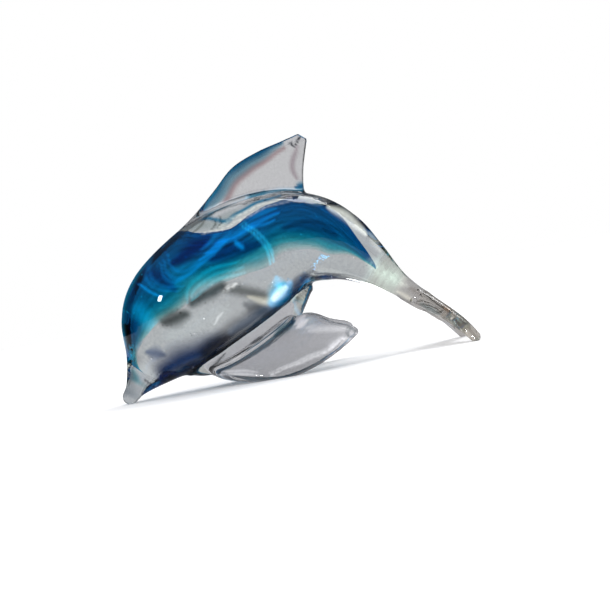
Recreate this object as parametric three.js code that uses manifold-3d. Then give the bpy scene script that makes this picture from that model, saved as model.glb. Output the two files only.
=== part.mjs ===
// Leaping dolphin in solid art glass, standing on its beak, its pectoral fins and its flukes.
// The body is a clear core with a blue overlay on its back, cased in thick clear glass. The
// beak, the tail and the fins are gathers of clear glass that are put on hot and drawn out.
// Millimetres, +Z up. The head points towards -X and the dolphin's left side towards -Y.
// The origin is on the surface that the dolphin stands on, under the middle of its box.

import * as THREE from 'three';
import Module from 'manifold-3d';
import { ParametricGeometry } from 'three/addons/geometries/ParametricGeometry.js';
import { mergeVertices } from 'three/addons/utils/BufferGeometryUtils.js';

// ---------------------------------------------------------------- driving dimensions

const GAP = 0.3; // space kept between pieces that touch
const WELD = 1e-4; // vertices closer than this are one
const BODY_AROUND = 32; // facets round the body
const BODY_ALONG = 28; // facets along the body
const INNER_ALONG = 20; // facets along the core and the overlay
const FIN_AROUND = 14; // facets round a fin's section
const FIN_ALONG = 12; // facets along a fin
const CUTTER = 400; // side of the block that slices pieces

// Spine of the whole skin from beak to tail: x, z, reach to the back, reach to the belly,
// half width.
const BODY_ROWS = [
  [-89.4, -0.6, 3.4, 3.4, 3.8],
  [-83.0, 7.4, 5.2, 5.8, 6.4],
  [-75.5, 16.0, 12.0, 13.2, 12.5],
  [-66.0, 26.0, 24.3, 22.0, 19.5],
  [-54.0, 37.0, 31.0, 28.0, 25.0],
  [-37.0, 50.0, 31.2, 32.0, 27.5],
  [-19.0, 59.3, 29.5, 32.0, 27.5],
  [-1.0, 64.0, 26.8, 29.0, 25.0],
  [16.0, 62.6, 23.8, 22.3, 20.5],
  [30.0, 56.0, 19.2, 16.3, 16.0],
  [42.0, 46.6, 12.9, 10.6, 11.6],
  [54.0, 35.2, 6.7, 6.1, 7.4],
  [62.5, 27.0, 4.8, 4.4, 6.4],
  [70.0, 20.2, 4.0, 3.6, 6.0],
];
const BEAK_CAP = 0.04; // share of the spine that the round end of the beak takes
const TAIL_CAP = 0.05; // share of the spine that the round end of the stalk takes
const BEAK_JOINT = 0.14; // place on the spine where the beak meets the body
const STALK_JOINT = 0.79; // place on the spine where the tail stalk meets the body

// Core and overlay: place on the spine, share of the back reach, of the belly reach and of
// the half width, and how far down each side the blue comes, in turns.
const CORE_ROWS = [
  [0.17, 0.78, 0.78, 0.78, 0.2],
  [0.3, 0.86, 0.84, 0.86, 0.215],
  [0.45, 0.86, 0.84, 0.86, 0.26],
  [0.56, 0.76, 0.82, 0.8, 0.275],
  [0.66, 0.6, 0.76, 0.72, 0.265],
  [0.73, 0.48, 0.66, 0.6, 0.25],
  [0.82, 0.38, 0.56, 0.48, 0.235],
];
const CORE_CAP = 0.12; // share of the core that each of its round ends takes
const OVERLAY_DEPTH = 2.6; // thickness of the blue on the middle of the back
const OVERLAY_SWELL = 0.6; // 1 thins the blue evenly down the sides, less keeps it full

// Fins: outer edge point, inner edge point, thickness.
const DORSAL_ROWS = [
  [[-52.0, 0, 76.0], [18.0, 0, 76.0], 9.0],
  [[-36.5, 0, 87.6], [18.3, 0, 86.5], 8.8],
  [[-25.6, 0, 96.8], [18.8, 0, 92.5], 7.6],
  [[-14.8, 0, 106.2], [20.2, 0, 99.5], 6.4],
  [[-1.4, 0, 111.5], [22.2, 0, 106.0], 5.4],
  [[11.6, 0, 114.5], [23.8, 0, 110.8], 4.8],
  [[21.0, 0, 117.0], [25.0, 0, 113.0], 4.2],
];
const PECTORAL_ROWS = [
  [[-46.0, 6.0, 8.6], [-42.0, 3.0, 12.5], 3.6],
  [[-38.0, 15.0, 4.2], [-30.0, 4.0, 15.5], 5.0],
  [[-24.0, 23.0, 0.8], [-13.0, 6.0, 20.5], 5.4],
  [[-8.0, 29.5, -0.5], [1.0, 8.0, 26.0], 5.2],
  [[7.5, 34.0, 3.4], [10.0, 17.0, 27.8], 4.8],
  [[20.0, 37.0, 9.6], [20.5, 28.0, 22.4], 4.4],
  [[29.6, 38.0, 14.4], [29.4, 35.5, 18.8], 4.2],
];
const FLUKE_ROWS = [
  [[57.5, 1.5, 30.5], [72.0, -5.0, 17.0], 7.0],
  [[64.0, 8.6, 24.6], [78.2, 1.2, 11.8], 6.2],
  [[72.0, 18.0, 17.4], [81.4, 9.6, 9.2], 5.2],
  [[80.0, 26.0, 9.4], [84.4, 18.4, 5.6], 4.8],
  [[86.2, 32.0, -0.2], [87.2, 27.0, -0.6], 4.4],
];
const FIN_CAP = 0.1; // share of a fin that each of its round ends takes
const RIM_FULLNESS = 0.75; // 1 gives an oval section, less gives a plumper rim

// Belly gather that the pectoral fins are drawn from: x, z, half height, half width.
const BELLY_ROWS = [
  [-56.0, 10.6, 3.2, 4.0],
  [-46.0, 11.4, 5.0, 9.0],
  [-33.0, 14.8, 7.2, 11.5],
  [-18.0, 21.0, 8.2, 11.5],
  [-5.0, 28.0, 8.2, 10.5],
  [4.0, 35.5, 6.0, 8.5],
  [12.0, 40.5, 3.2, 5.5],
];
const BELLY_CAP = 0.14; // share of the gather that each of its round ends takes
const BELLY_AROUND = 20; // facets round the gather
const BELLY_ALONG = 14; // facets along the gather

// ---------------------------------------------------------------- materials

function clearGlass() {
  return new THREE.MeshStandardMaterial({ color: 0xd8e2e2, roughness: 0.04, metalness: 0 });
}

function blueGlass() {
  return new THREE.MeshStandardMaterial({ color: 0x0a4f8c, roughness: 0.05, metalness: 0 });
}

// ---------------------------------------------------------------- solids and joins

const wasm = await Module();
wasm.setup();

// Turns a closed geometry into a solid, without the triangles that a pole leaves flat.
function toSolid(geometry) {
  const bare = geometry.clone();
  bare.deleteAttribute('normal');
  bare.deleteAttribute('uv');
  const merged = mergeVertices(bare, WELD);
  const corners = merged.index.array;
  const kept = [];
  for (let i = 0; i < corners.length; i += 3) {
    const [a, b, c] = [corners[i], corners[i + 1], corners[i + 2]];
    if (a !== b && b !== c && c !== a) kept.push(a, b, c);
  }
  const vertProperties = new Float32Array(merged.attributes.position.array);
  const triVerts = new Uint32Array(kept);
  return new wasm.Manifold(new wasm.Mesh({ numProp: 3, vertProperties, triVerts }));
}

function toMesh(name, solid, material) {
  const { vertProperties, triVerts } = solid.getMesh();
  const geometry = new THREE.BufferGeometry();
  geometry.setAttribute('position', new THREE.BufferAttribute(vertProperties, 3));
  geometry.setIndex(new THREE.BufferAttribute(triVerts, 1));
  geometry.computeVertexNormals();
  const mesh = new THREE.Mesh(geometry, material);
  mesh.name = name;
  return mesh;
}

// A large block whose near face passes through a point, on the side that a direction points to.
function blockBeyond(point, direction) {
  const block = new THREE.BoxGeometry(CUTTER, CUTTER, CUTTER);
  block.translate(0, 0, CUTTER / 2);
  const turn = new THREE.Quaternion().setFromUnitVectors(new THREE.Vector3(0, 0, 1), direction);
  block.applyQuaternion(turn);
  block.translate(point.x, point.y, point.z);
  return toSolid(block);
}

const belowGround = blockBeyond(new THREE.Vector3(), new THREE.Vector3(0, 0, -1));

// Splits a sweep into round ends and a plain middle: how far along it is, and how full it is.
function roundedEnds(way, startCap, endCap) {
  if (way < startCap) {
    const angle = (way / startCap) * (Math.PI / 2);
    return { along: startCap * (1 - Math.cos(angle)), fullness: Math.sin(angle) };
  }
  if (way > 1 - endCap) {
    const angle = ((1 - way) / endCap) * (Math.PI / 2);
    return { along: 1 - endCap * (1 - Math.cos(angle)), fullness: Math.sin(angle) };
  }
  return { along: way, fullness: 1 };
}

function curveThrough(points) {
  return new THREE.CatmullRomCurve3(points, false, 'catmullrom', 0.5);
}

// ---------------------------------------------------------------- body

const spine = curveThrough(BODY_ROWS.map(([x, z]) => new THREE.Vector3(x, 0, z)));
const girth = curveThrough(BODY_ROWS.map((row) => new THREE.Vector3(row[2], row[3], row[4])));
const SIDEWAYS = new THREE.Vector3(0, 1, 0);

// A point of a section across the spine. Turn 0 is the back and turn 0.5 is the belly.
function acrossSpine(place, turn, reach) {
  const angle = turn * Math.PI * 2;
  const lift = Math.cos(angle);
  const toBack = new THREE.Vector3().crossVectors(spine.getTangent(place), SIDEWAYS);
  const point = spine.getPoint(place);
  point.addScaledVector(toBack, lift * (lift > 0 ? reach.x : reach.y));
  return point.addScaledVector(SIDEWAYS, -reach.z * Math.sin(angle));
}

// The whole outer skin from beak to tail, grown by a given distance.
function skin(grow) {
  const geometry = new ParametricGeometry((turn, way, target) => {
    const { along, fullness } = roundedEnds(way, BEAK_CAP, TAIL_CAP);
    const reach = girth.getPoint(along).addScalar(grow).multiplyScalar(fullness);
    target.copy(acrossSpine(along, turn, reach));
  }, BODY_AROUND, BODY_ALONG);
  return toSolid(geometry);
}

const coreShare = curveThrough(CORE_ROWS.map((row) => new THREE.Vector3(row[1], row[2], row[3])));
const corePlace = curveThrough(CORE_ROWS.map((row) => new THREE.Vector3(row[0], row[4], 0)));

// Reach of the space that holds the core and the overlay, its place on the spine, and how far
// round the blue comes there.
function coreSpace(way) {
  const { along, fullness } = roundedEnds(way, CORE_CAP, CORE_CAP);
  const { x: place, y: blueTurn } = corePlace.getPoint(along);
  const reach = girth.getPoint(place).multiply(coreShare.getPoint(along));
  return { place, reach, fullness, blueTurn };
}

// Thickness of the blue: full on the back, nothing at its lower edges and on the belly.
function overlayDepth(turn, blueTurn) {
  const fromBack = Math.min(turn, 1 - turn) / blueTurn;
  return fromBack < 1 ? OVERLAY_DEPTH * Math.cos((fromBack * Math.PI) / 2) ** OVERLAY_SWELL : 0;
}

function coreCavity() {
  const geometry = new ParametricGeometry((turn, way, target) => {
    const { place, reach, fullness } = coreSpace(way);
    target.copy(acrossSpine(place, turn, reach.addScalar(GAP).multiplyScalar(fullness)));
  }, BODY_AROUND, INNER_ALONG);
  return toSolid(geometry);
}

function clearCore() {
  const geometry = new ParametricGeometry((turn, way, target) => {
    const { place, reach, fullness, blueTurn } = coreSpace(way);
    const depth = overlayDepth(turn, blueTurn + 1 / BODY_AROUND);
    const inset = depth > 0 ? depth + GAP : 0;
    target.copy(acrossSpine(place, turn, reach.addScalar(-inset).multiplyScalar(fullness)));
  }, BODY_AROUND, INNER_ALONG);
  return toSolid(geometry);
}

// The blue lies on the core as a crescent: out over the back and home again underneath.
function blueOverlay() {
  const geometry = new ParametricGeometry((turn, way, target) => {
    const { place, reach, fullness, blueTurn } = coreSpace(way);
    const outside = turn < 0.5;
    const sweep = outside ? 4 * turn - 1 : 3 - 4 * turn;
    const aroundTurn = (sweep * blueTurn + 1) % 1;
    const inset = outside || turn === 0.5 ? 0 : overlayDepth(aroundTurn, blueTurn - WELD);
    target.copy(acrossSpine(place, aroundTurn, reach.addScalar(-inset).multiplyScalar(fullness)));
  }, BODY_AROUND, INNER_ALONG);
  return toSolid(geometry);
}

function afterJoint(place, shift) {
  const ahead = spine.getTangent(place);
  return blockBeyond(spine.getPoint(place).addScaledVector(ahead, shift), ahead);
}

// Core, overlay and casing all end at the flat joint that the tail stalk is put on.
function beforeStalk(solid) {
  return solid.subtract(afterJoint(STALK_JOINT, -GAP / 2));
}

function beak(wholeSkin) {
  return wholeSkin.subtract(afterJoint(BEAK_JOINT, -GAP / 2)).subtract(belowGround);
}

function casing(wholeSkin) {
  const front = wholeSkin.intersect(afterJoint(BEAK_JOINT, GAP / 2));
  return beforeStalk(front).subtract(coreCavity());
}

function tailStalk(wholeSkin) {
  return wholeSkin.intersect(afterJoint(STALK_JOINT, GAP / 2));
}

// ---------------------------------------------------------------- fins

// A fin's section runs round from its outer edge, over its back, to its inner edge.
function fin(rows, side, grow) {
  const mirror = new THREE.Vector3(1, side, 1);
  const outer = curveThrough(rows.map((row) => new THREE.Vector3(...row[0]).multiply(mirror)));
  const inner = curveThrough(rows.map((row) => new THREE.Vector3(...row[1]).multiply(mirror)));
  const body = curveThrough(rows.map((row) => new THREE.Vector3(row[2], 0, 0)));
  const geometry = new ParametricGeometry((turn, way, target) => {
    const { along, fullness } = roundedEnds(way, FIN_CAP, FIN_CAP);
    const edge = outer.getPoint(along);
    const chord = inner.getPoint(along).sub(edge);
    const face = new THREE.Vector3().crossVectors(chord, outer.getTangent(along)).normalize();
    const angle = turn * Math.PI * 2;
    const across = 0.5 - 0.5 * Math.cos(angle) * fullness;
    const rise = Math.sign(Math.sin(angle)) * Math.abs(Math.sin(angle)) ** RIM_FULLNESS;
    const half = (body.getPoint(along).x / 2 + grow) * fullness;
    target.copy(edge).addScaledVector(chord, across).addScaledVector(face, rise * half);
  }, FIN_AROUND, FIN_ALONG);
  return toSolid(geometry);
}

function bellyGather(grow) {
  const line = curveThrough(BELLY_ROWS.map(([x, z]) => new THREE.Vector3(x, 0, z)));
  const size = curveThrough(BELLY_ROWS.map((row) => new THREE.Vector3(row[2], row[3], 0)));
  const geometry = new ParametricGeometry((turn, way, target) => {
    const { along, fullness } = roundedEnds(way, BELLY_CAP, BELLY_CAP);
    const half = size.getPoint(along).addScalar(grow).multiplyScalar(fullness);
    const angle = turn * Math.PI * 2;
    target.copy(line.getPoint(along));
    target.z += half.x * Math.cos(angle);
    target.y -= half.y * Math.sin(angle);
  }, BELLY_AROUND, BELLY_ALONG);
  return toSolid(geometry);
}

function pectoralFin(side, bodyCutter, bellyCutter) {
  const whole = fin(PECTORAL_ROWS, side, 0);
  return whole.subtract(bodyCutter).subtract(bellyCutter).subtract(belowGround);
}

function fluke(side, stalkCutter) {
  const beyondMiddle = new THREE.Vector3(0, (side * GAP) / 2, 0);
  const half = blockBeyond(beyondMiddle, new THREE.Vector3(0, side, 0));
  return fin(FLUKE_ROWS, side, 0).intersect(half).subtract(stalkCutter).subtract(belowGround);
}

// ---------------------------------------------------------------- assembly

function buildDolphin() {
  const wholeSkin = skin(0);
  const grownSkin = skin(GAP);
  const grownBelly = bellyGather(GAP);
  const dolphin = new THREE.Group();
  const add = (name, solid, material) => dolphin.add(toMesh(name, solid, material));
  add('clear_core', beforeStalk(clearCore()), clearGlass());
  add('blue_overlay', beforeStalk(blueOverlay()), blueGlass());
  add('clear_casing', casing(wholeSkin), clearGlass());
  add('beak', beak(wholeSkin), clearGlass());
  add('tail_stalk', tailStalk(wholeSkin), clearGlass());
  add('belly_gather', bellyGather(0).subtract(grownSkin), clearGlass());
  add('dorsal_fin', fin(DORSAL_ROWS, 1, 0).subtract(grownSkin), clearGlass());
  add('left_pectoral_fin', pectoralFin(-1, grownSkin, grownBelly), clearGlass());
  add('right_pectoral_fin', pectoralFin(1, grownSkin, grownBelly), clearGlass());
  add('left_fluke', fluke(-1, grownSkin), clearGlass());
  add('right_fluke', fluke(1, grownSkin), clearGlass());
  return dolphin;
}

// Puts the origin on the ground, under the middle of the dolphin's box.
function standOnOrigin(dolphin) {
  const box = new THREE.Box3().setFromObject(dolphin);
  const middle = box.getCenter(new THREE.Vector3());
  dolphin.position.set(-middle.x, -middle.y, -box.min.z);
  return dolphin;
}

export default standOnOrigin(buildDolphin());
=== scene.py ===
"""Looks of a leaping dolphin in solid clear and blue art glass.

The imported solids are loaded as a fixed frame. Every glass piece is then made again with fire-polished,
flowing surfaces in the place of its own solid, dressed, and ridden on the one body of the part.
Lengths are in millimetres until a mesh is made, and meshes are in metres.
"""
import logging
import math
from dataclasses import dataclass
from enum import Enum
from typing import Callable, Sequence

import bmesh
import bpy
import numpy as np
from mathutils import Matrix, Vector


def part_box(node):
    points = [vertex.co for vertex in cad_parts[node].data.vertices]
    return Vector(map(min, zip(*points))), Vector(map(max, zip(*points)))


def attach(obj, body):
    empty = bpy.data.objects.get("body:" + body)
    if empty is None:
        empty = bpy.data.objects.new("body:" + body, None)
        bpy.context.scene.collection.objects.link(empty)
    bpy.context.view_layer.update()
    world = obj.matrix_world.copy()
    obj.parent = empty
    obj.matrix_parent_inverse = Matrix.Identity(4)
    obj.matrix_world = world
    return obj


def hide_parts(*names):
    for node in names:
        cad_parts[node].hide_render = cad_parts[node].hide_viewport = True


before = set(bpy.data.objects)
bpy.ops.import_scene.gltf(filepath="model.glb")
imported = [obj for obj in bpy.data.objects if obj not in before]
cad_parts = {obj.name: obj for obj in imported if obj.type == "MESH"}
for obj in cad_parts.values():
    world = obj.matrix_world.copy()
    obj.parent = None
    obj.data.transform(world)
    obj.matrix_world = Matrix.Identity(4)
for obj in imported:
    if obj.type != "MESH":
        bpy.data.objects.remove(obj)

LOG = logging.getLogger("glass_dolphin")
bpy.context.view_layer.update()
MM = 0.001
BODY_NAME = "root"
STALK_END_X = 70.0
ROW_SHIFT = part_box("tail_stalk")[1][0] / MM - STALK_END_X

CHUNK = 20000
FAR = 10.0
SMALL = 1e-4
NO_LENGTH = 1e-12
NO_SLOPE = 1e-6
NO_RUN = 1e-9

Array = np.ndarray
Field = Callable[[Array], Array]
Flat = tuple[float, float]
Colour = tuple[float, float, float]


# ------------------------------------------------------------------ curves and fields

class Spline:
    """A smooth curve through evenly numbered rows of values."""

    def __init__(self, rows: Sequence[Sequence[float]]) -> None:
        """Stores the rows with one more at each end, in line with the last two.

        Args:
            rows: The values to pass through, from place 0 to place 1.
        """
        body = np.array(rows, float)
        first = 2 * body[:1] - body[1:2]
        last = 2 * body[-1:] - body[-2:-1]
        self.rows = np.vstack([first, body, last])
        self.spans = len(body) - 1

    def at(self, place: Array) -> Array:
        """Returns the values at one place or many, from 0 to 1."""
        step = np.clip(np.asarray(place, float), 0.0, 1.0) * self.spans
        index = np.minimum(step.astype(int), self.spans - 1)
        part = (step - index)[..., None]
        a, b, c, d = (self.rows[index + k] for k in range(4))
        cubic = (2 * b + (c - a) * part + (2 * a - 5 * b + 4 * c - d) * part ** 2
                 + (3 * b - a - 3 * c + d) * part ** 3)
        return 0.5 * cubic

    def slope(self, place: Array) -> Array:
        """Returns the direction of travel at one place or many, not made unit length."""
        return (self.at(place + SMALL) - self.at(place - SMALL)) / (2 * SMALL)


def unit(vectors: Array) -> Array:
    """Returns vectors at length one."""
    return vectors / np.maximum(np.linalg.norm(vectors, axis=-1, keepdims=True), NO_LENGTH)


def blend(a: Array, b: Array, reach: float) -> Array:
    """Returns the union of two fields with a fillet, as hot glass flows together.

    Args:
        a: One field, negative inside.
        b: The other field.
        reach: How far from the crossing the fillet starts.

    Returns:
        The joined field.
    """
    nearness = np.maximum(reach - np.abs(a - b), 0.0) / reach
    return np.minimum(a, b) - nearness ** 3 * reach / 6


@dataclass
class Sweep:
    """A round body swept along a curve in the middle plane.

    Rows hold x, z, the reach to the back, the reach to the belly and the half width.
    """

    rows: Sequence[Sequence[float]]
    samples: int = 140
    rounds: int = 3

    def __post_init__(self) -> None:
        """Makes the curve and the samples that a nearest place is first looked for in."""
        self.curve = Spline(self.rows)
        self.places = np.linspace(0, 1, self.samples)
        self.line = self.curve.at(self.places)[:, :2]

    def nearest(self, flat: Array) -> Array:
        """Returns the place on the curve that is nearest to each point of the middle plane.

        Args:
            flat: Points as x and z.

        Returns:
            Places from 0 to 1.
        """
        place = np.empty(len(flat))
        lengths = (self.line ** 2).sum(1)
        for start in range(0, len(flat), CHUNK):
            part = flat[start:start + CHUNK]
            place[start:start + CHUNK] = self.places[(lengths - 2 * part @ self.line.T).argmin(1)]
        for _ in range(self.rounds):
            here = self.curve.at(place)[:, :2]
            ahead = self.curve.at(place + SMALL)[:, :2]
            slope = (ahead - self.curve.at(place - SMALL)[:, :2]) / (2 * SMALL)
            place = np.clip(place + ((flat - here) * slope).sum(1) / (slope ** 2).sum(1), 0, 1)
        return place

    def field(self, points: Array) -> Array:
        """Returns roughly how far each point is outside the body, negative inside."""
        flat = points[:, [0, 2]]
        place = self.nearest(flat)
        values = self.curve.at(place)
        along = unit(self.curve.slope(place)[:, :2])
        back = np.stack([-along[:, 1], along[:, 0]], 1)
        away = flat - values[:, :2]
        lift = (away * back).sum(1)
        past = (away * along).sum(1)
        reach = np.where(lift > 0, values[:, 2], values[:, 3])
        end = np.minimum(values[:, 2], values[:, 3])
        terms = np.stack([lift / reach, points[:, 1] / values[:, 4], past / end], 1)
        slopes = terms / np.stack([reach, values[:, 4], end], 1)
        level = np.linalg.norm(terms, axis=1)
        return (level - 1) * level / np.maximum(np.linalg.norm(slopes, axis=1), NO_SLOPE)

    def across(self, place: Array, turn: Array, share: Array) -> Array:
        """Returns points of sections across the curve.

        Args:
            place: Places along the curve.
            turn: Turns round the section, 0 at the back and 0.5 at the belly.
            share: Shares of the back reach, the belly reach and the half width.

        Returns:
            Points in millimetres.
        """
        values = self.curve.at(place)
        along = unit(self.curve.slope(place)[..., :2])
        lift = np.cos(2 * np.pi * turn)
        reach = np.where(lift > 0, values[..., 2] * share[..., 0], values[..., 3] * share[..., 1])
        side = values[..., 4] * share[..., 2] * np.sin(2 * np.pi * turn)
        x = values[..., 0] - along[..., 1] * lift * reach
        z = values[..., 1] + along[..., 0] * lift * reach
        return np.stack([x, -side, z], -1)


@dataclass
class Blade:
    """A fin: a plate with a rounded rim between two edges, over a gently bent middle surface.

    Rows hold a point of the outer edge, a point of the inner edge and the thickness there.
    """

    rows: Sequence[tuple]
    rim: float
    side: float = 1.0
    samples: int = 40
    thinnest: float = 0.8
    rim_power: float = 2.4

    def __post_init__(self) -> None:
        """Lays the outline in the fin's own plane and fits the bend of its middle surface."""
        mirror = np.array([1.0, self.side, 1.0])
        outer = Spline([np.array(row[0]) * mirror for row in self.rows])
        inner = Spline([np.array(row[1]) * mirror for row in self.rows])
        places = np.linspace(0, 1, self.samples)
        rail = np.vstack([outer.at(places), inner.at(places)[::-1]])
        self.middle = rail.mean(0)
        self.axes = np.linalg.svd(rail - self.middle)[2]
        local = (rail - self.middle) @ self.axes.T
        self.outline = local[:, :2]
        self.bend = np.linalg.lstsq(self.powers(local[:, :2]), local[:, 2], rcond=None)[0]
        thickness = Spline([[row[2]] for row in self.rows]).at(places)[:, 0]
        half = np.concatenate([thickness, thickness[::-1]]) / 2
        self.half = np.linalg.lstsq(self.powers(local[:, :2])[:, :3], half, rcond=None)[0]
        self.least = half.min() * self.thinnest
        self.depth = np.abs(local[:, 2]).max()

    @staticmethod
    def powers(flat: Array) -> Array:
        """Returns the terms of a surface bent one way and the other."""
        u, v = flat[:, 0], flat[:, 1]
        return np.stack([np.ones_like(u), u, v, u * u, u * v, v * v], 1)

    def inside(self, flat: Array) -> Array:
        """Returns how far points of the plane are outside the outline, negative inside."""
        a = self.outline
        b = np.roll(a, -1, 0)
        edge = b - a
        least = np.full(len(flat), np.inf)
        crossings = np.zeros(len(flat), int)
        for start, run in zip(a, edge):
            away = flat - start
            part = np.clip((away @ run) / max(run @ run, NO_RUN), 0, 1)
            least = np.minimum(least, ((away - part[:, None] * run) ** 2).sum(1))
            if abs(run[1]) > NO_LENGTH:
                share = away[:, 1] / run[1]
                crossings += (share >= 0) & (share < 1) & (away[:, 0] < share * run[0])
        return np.where(crossings % 2 == 1, -1.0, 1.0) * np.sqrt(least)

    def field(self, points: Array) -> Array:
        """Returns roughly how far each point is outside the fin, negative inside."""
        local = (points - self.middle) @ self.axes.T
        out = np.full(len(points), FAR)
        low, high = self.outline.min(0) - FAR, self.outline.max(0) + FAR
        near = ((local[:, :2] > low) & (local[:, :2] < high)).all(1)
        near &= np.abs(local[:, 2]) < FAR + self.depth
        local = local[near]
        terms = self.powers(local[:, :2])
        rise = local[:, 2] - terms @ self.bend
        half = np.maximum(terms[:, :3] @ self.half, self.least)
        over = np.maximum(self.inside(local[:, :2]) / self.rim + 1, 0)
        level = np.sqrt(over ** self.rim_power + (rise / half) ** 2)
        out[near] = np.minimum((level - 1) * half, FAR)
        return out


# ------------------------------------------------------------------ meshes

def gradient(shape: Field, points: Array, nudge: float = 0.02) -> Array:
    """Returns the slope of a field at points, by small steps each way."""
    steps = np.eye(3) * nudge
    return np.stack([shape(points + step) - shape(points - step) for step in steps], 1) / (2 * nudge)


LEAP = 4
NEAR_STEPS = 1.6
SETTLING_ROUNDS = 6
SLOPE_ROUNDS = (0, 2)
FLATTEST = 0.05


def sampled(shape: Field, grid: Array, pitch: float) -> Array:
    """Returns a field on a grid, worked out in full only near its surface.

    Args:
        shape: The field, negative inside.
        grid: The grid's points.
        pitch: The spacing of the grid.

    Returns:
        The field's values, roughly right away from the surface and exact near it.
    """
    coarse = grid[::LEAP, ::LEAP, ::LEAP]
    rough = shape(coarse.reshape(-1, 3)).reshape(coarse.shape[:3])
    spread = [np.minimum((np.arange(n) + LEAP // 2) // LEAP, m - 1)
              for n, m in zip(grid.shape[:3], rough.shape)]
    value = rough[np.ix_(*spread)]
    near = np.abs(value) < pitch * LEAP * NEAR_STEPS
    value[near] = shape(grid[near])
    return value


def ends_of(axis: int) -> tuple[tuple, tuple]:
    """Returns the slices of a grid at the near and the far end of each step along an axis."""
    behind, ahead = [slice(None)] * 3, [slice(None)] * 3
    behind[axis], ahead[axis] = slice(None, -1), slice(1, None)
    return tuple(behind), tuple(ahead)


def cell_points(value: Array, grid: Array) -> tuple[Array, Array]:
    """Places one point in each cell that the surface passes through.

    Args:
        value: The field on the grid.
        grid: The grid's points.

    Returns:
        The points, and the number of each cell's point.
    """
    size = value.shape
    total = np.zeros([n - 1 for n in size] + [3])
    count = np.zeros([n - 1 for n in size])
    for axis in range(3):
        behind, ahead = ends_of(axis)
        a, b = value[behind], value[ahead]
        crossed = (a < 0) != (b < 0)
        share = np.where(crossed, a / np.where(crossed, a - b, 1), 0)
        place = grid[behind] + share[..., None] * (grid[ahead] - grid[behind])
        others = [k for k in range(3) if k != axis]
        for first in (0, 1):
            for second in (0, 1):
                part = [slice(None)] * 3
                part[others[0]] = slice(first, size[others[0]] - 1 + first)
                part[others[1]] = slice(second, size[others[1]] - 1 + second)
                part = tuple(part)
                total += place[part] * crossed[part][..., None]
                count += crossed[part]
    used = count > 0
    points = total[used] / count[used][:, None]
    number = np.full(used.shape, -1)
    number[used] = np.arange(len(points))
    return points, number


def cell_faces(inside: Array, number: Array) -> Array:
    """Joins the points of neighbouring cells into faces.

    Args:
        inside: Whether each point of the grid is inside.
        number: The number of each cell's point.

    Returns:
        Four corner numbers a face, turned to face outwards.
    """
    faces = []
    for axis in range(3):
        others = [(axis + 1) % 3, (axis + 2) % 3]
        behind, ahead = ends_of(axis)
        where = np.argwhere(inside[behind] != inside[ahead])
        where = where[(where[:, others[0]] > 0) & (where[:, others[1]] > 0)]
        corners = []
        for first, second in ((1, 1), (0, 1), (0, 0), (1, 0)):
            cell = where.copy()
            cell[:, others[0]] -= first
            cell[:, others[1]] -= second
            corners.append(number[tuple(cell.T)])
        quads = np.stack(corners, 1)
        leaving = inside[tuple(where.T)]
        quads[~leaving] = quads[~leaving][:, ::-1]
        faces.append(quads)
    return np.vstack(faces)


def surface_of(shape: Field, low: Array, high: Array, pitch: float) -> tuple[Array, Array]:
    """Makes a smooth closed surface where a field is zero.

    Args:
        shape: The field, negative inside.
        low: The lowest corner to look in.
        high: The highest corner to look in.
        pitch: The spacing of the grid, and about the size of the faces.

    Returns:
        The points and the four-cornered faces.
    """
    axes = [np.arange(low[k], high[k] + pitch, pitch) for k in range(3)]
    grid = np.stack(np.meshgrid(*axes, indexing="ij"), -1)
    value = sampled(shape, grid, pitch)
    points, number = cell_points(value, grid)
    for turn in range(SETTLING_ROUNDS):
        if turn in SLOPE_ROUNDS:
            slope = gradient(shape, points)
            slope = slope / np.maximum((slope ** 2).sum(1, keepdims=True), FLATTEST)
        points = points - np.clip(slope * shape(points)[:, None], -pitch / 2, pitch / 2)
    return points, cell_faces(value < 0, number)


def turn_outwards(mesh: bpy.types.Mesh) -> None:
    """Turns every face of a closed mesh to point out."""
    work = bmesh.new()
    work.from_mesh(mesh)
    bmesh.ops.recalc_face_normals(work, faces=work.faces)
    work.to_mesh(mesh)
    work.free()


def new_mesh(name: str, points: Array, faces: Sequence[Sequence[int]]) -> bpy.types.Object:
    """Makes an object from points in row millimetres and faces.

    Args:
        name: The object's name.
        points: Points in millimetres, in the rows' own place.
        faces: Corner numbers of each face.

    Returns:
        The new object, at the origin, with its place in its mesh.
    """
    mesh = bpy.data.meshes.new(name)
    mesh.from_pydata(((points + np.array([ROW_SHIFT, 0, 0])) * MM).tolist(), [], faces)
    mesh.polygons.foreach_set("use_smooth", [True] * len(mesh.polygons))
    piece = bpy.data.objects.new(name, mesh)
    bpy.context.scene.collection.objects.link(piece)
    return piece


def row_points(mesh: bpy.types.Mesh) -> Array:
    """Returns a mesh's points in row millimetres."""
    points = np.empty(len(mesh.vertices) * 3)
    mesh.vertices.foreach_get("co", points)
    return points.reshape(-1, 3) / MM - np.array([ROW_SHIFT, 0, 0])


def bake(piece: bpy.types.Object) -> bpy.types.Mesh:
    """Gives a piece the plain mesh that its modifiers make, takes them off, and returns the mesh."""
    held = piece.evaluated_get(bpy.context.evaluated_depsgraph_get())
    mesh = bpy.data.meshes.new_from_object(held)
    piece.modifiers.clear()
    piece.data = mesh
    mesh.name = piece.name
    return mesh


# ------------------------------------------------------------------ the outer skin

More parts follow.
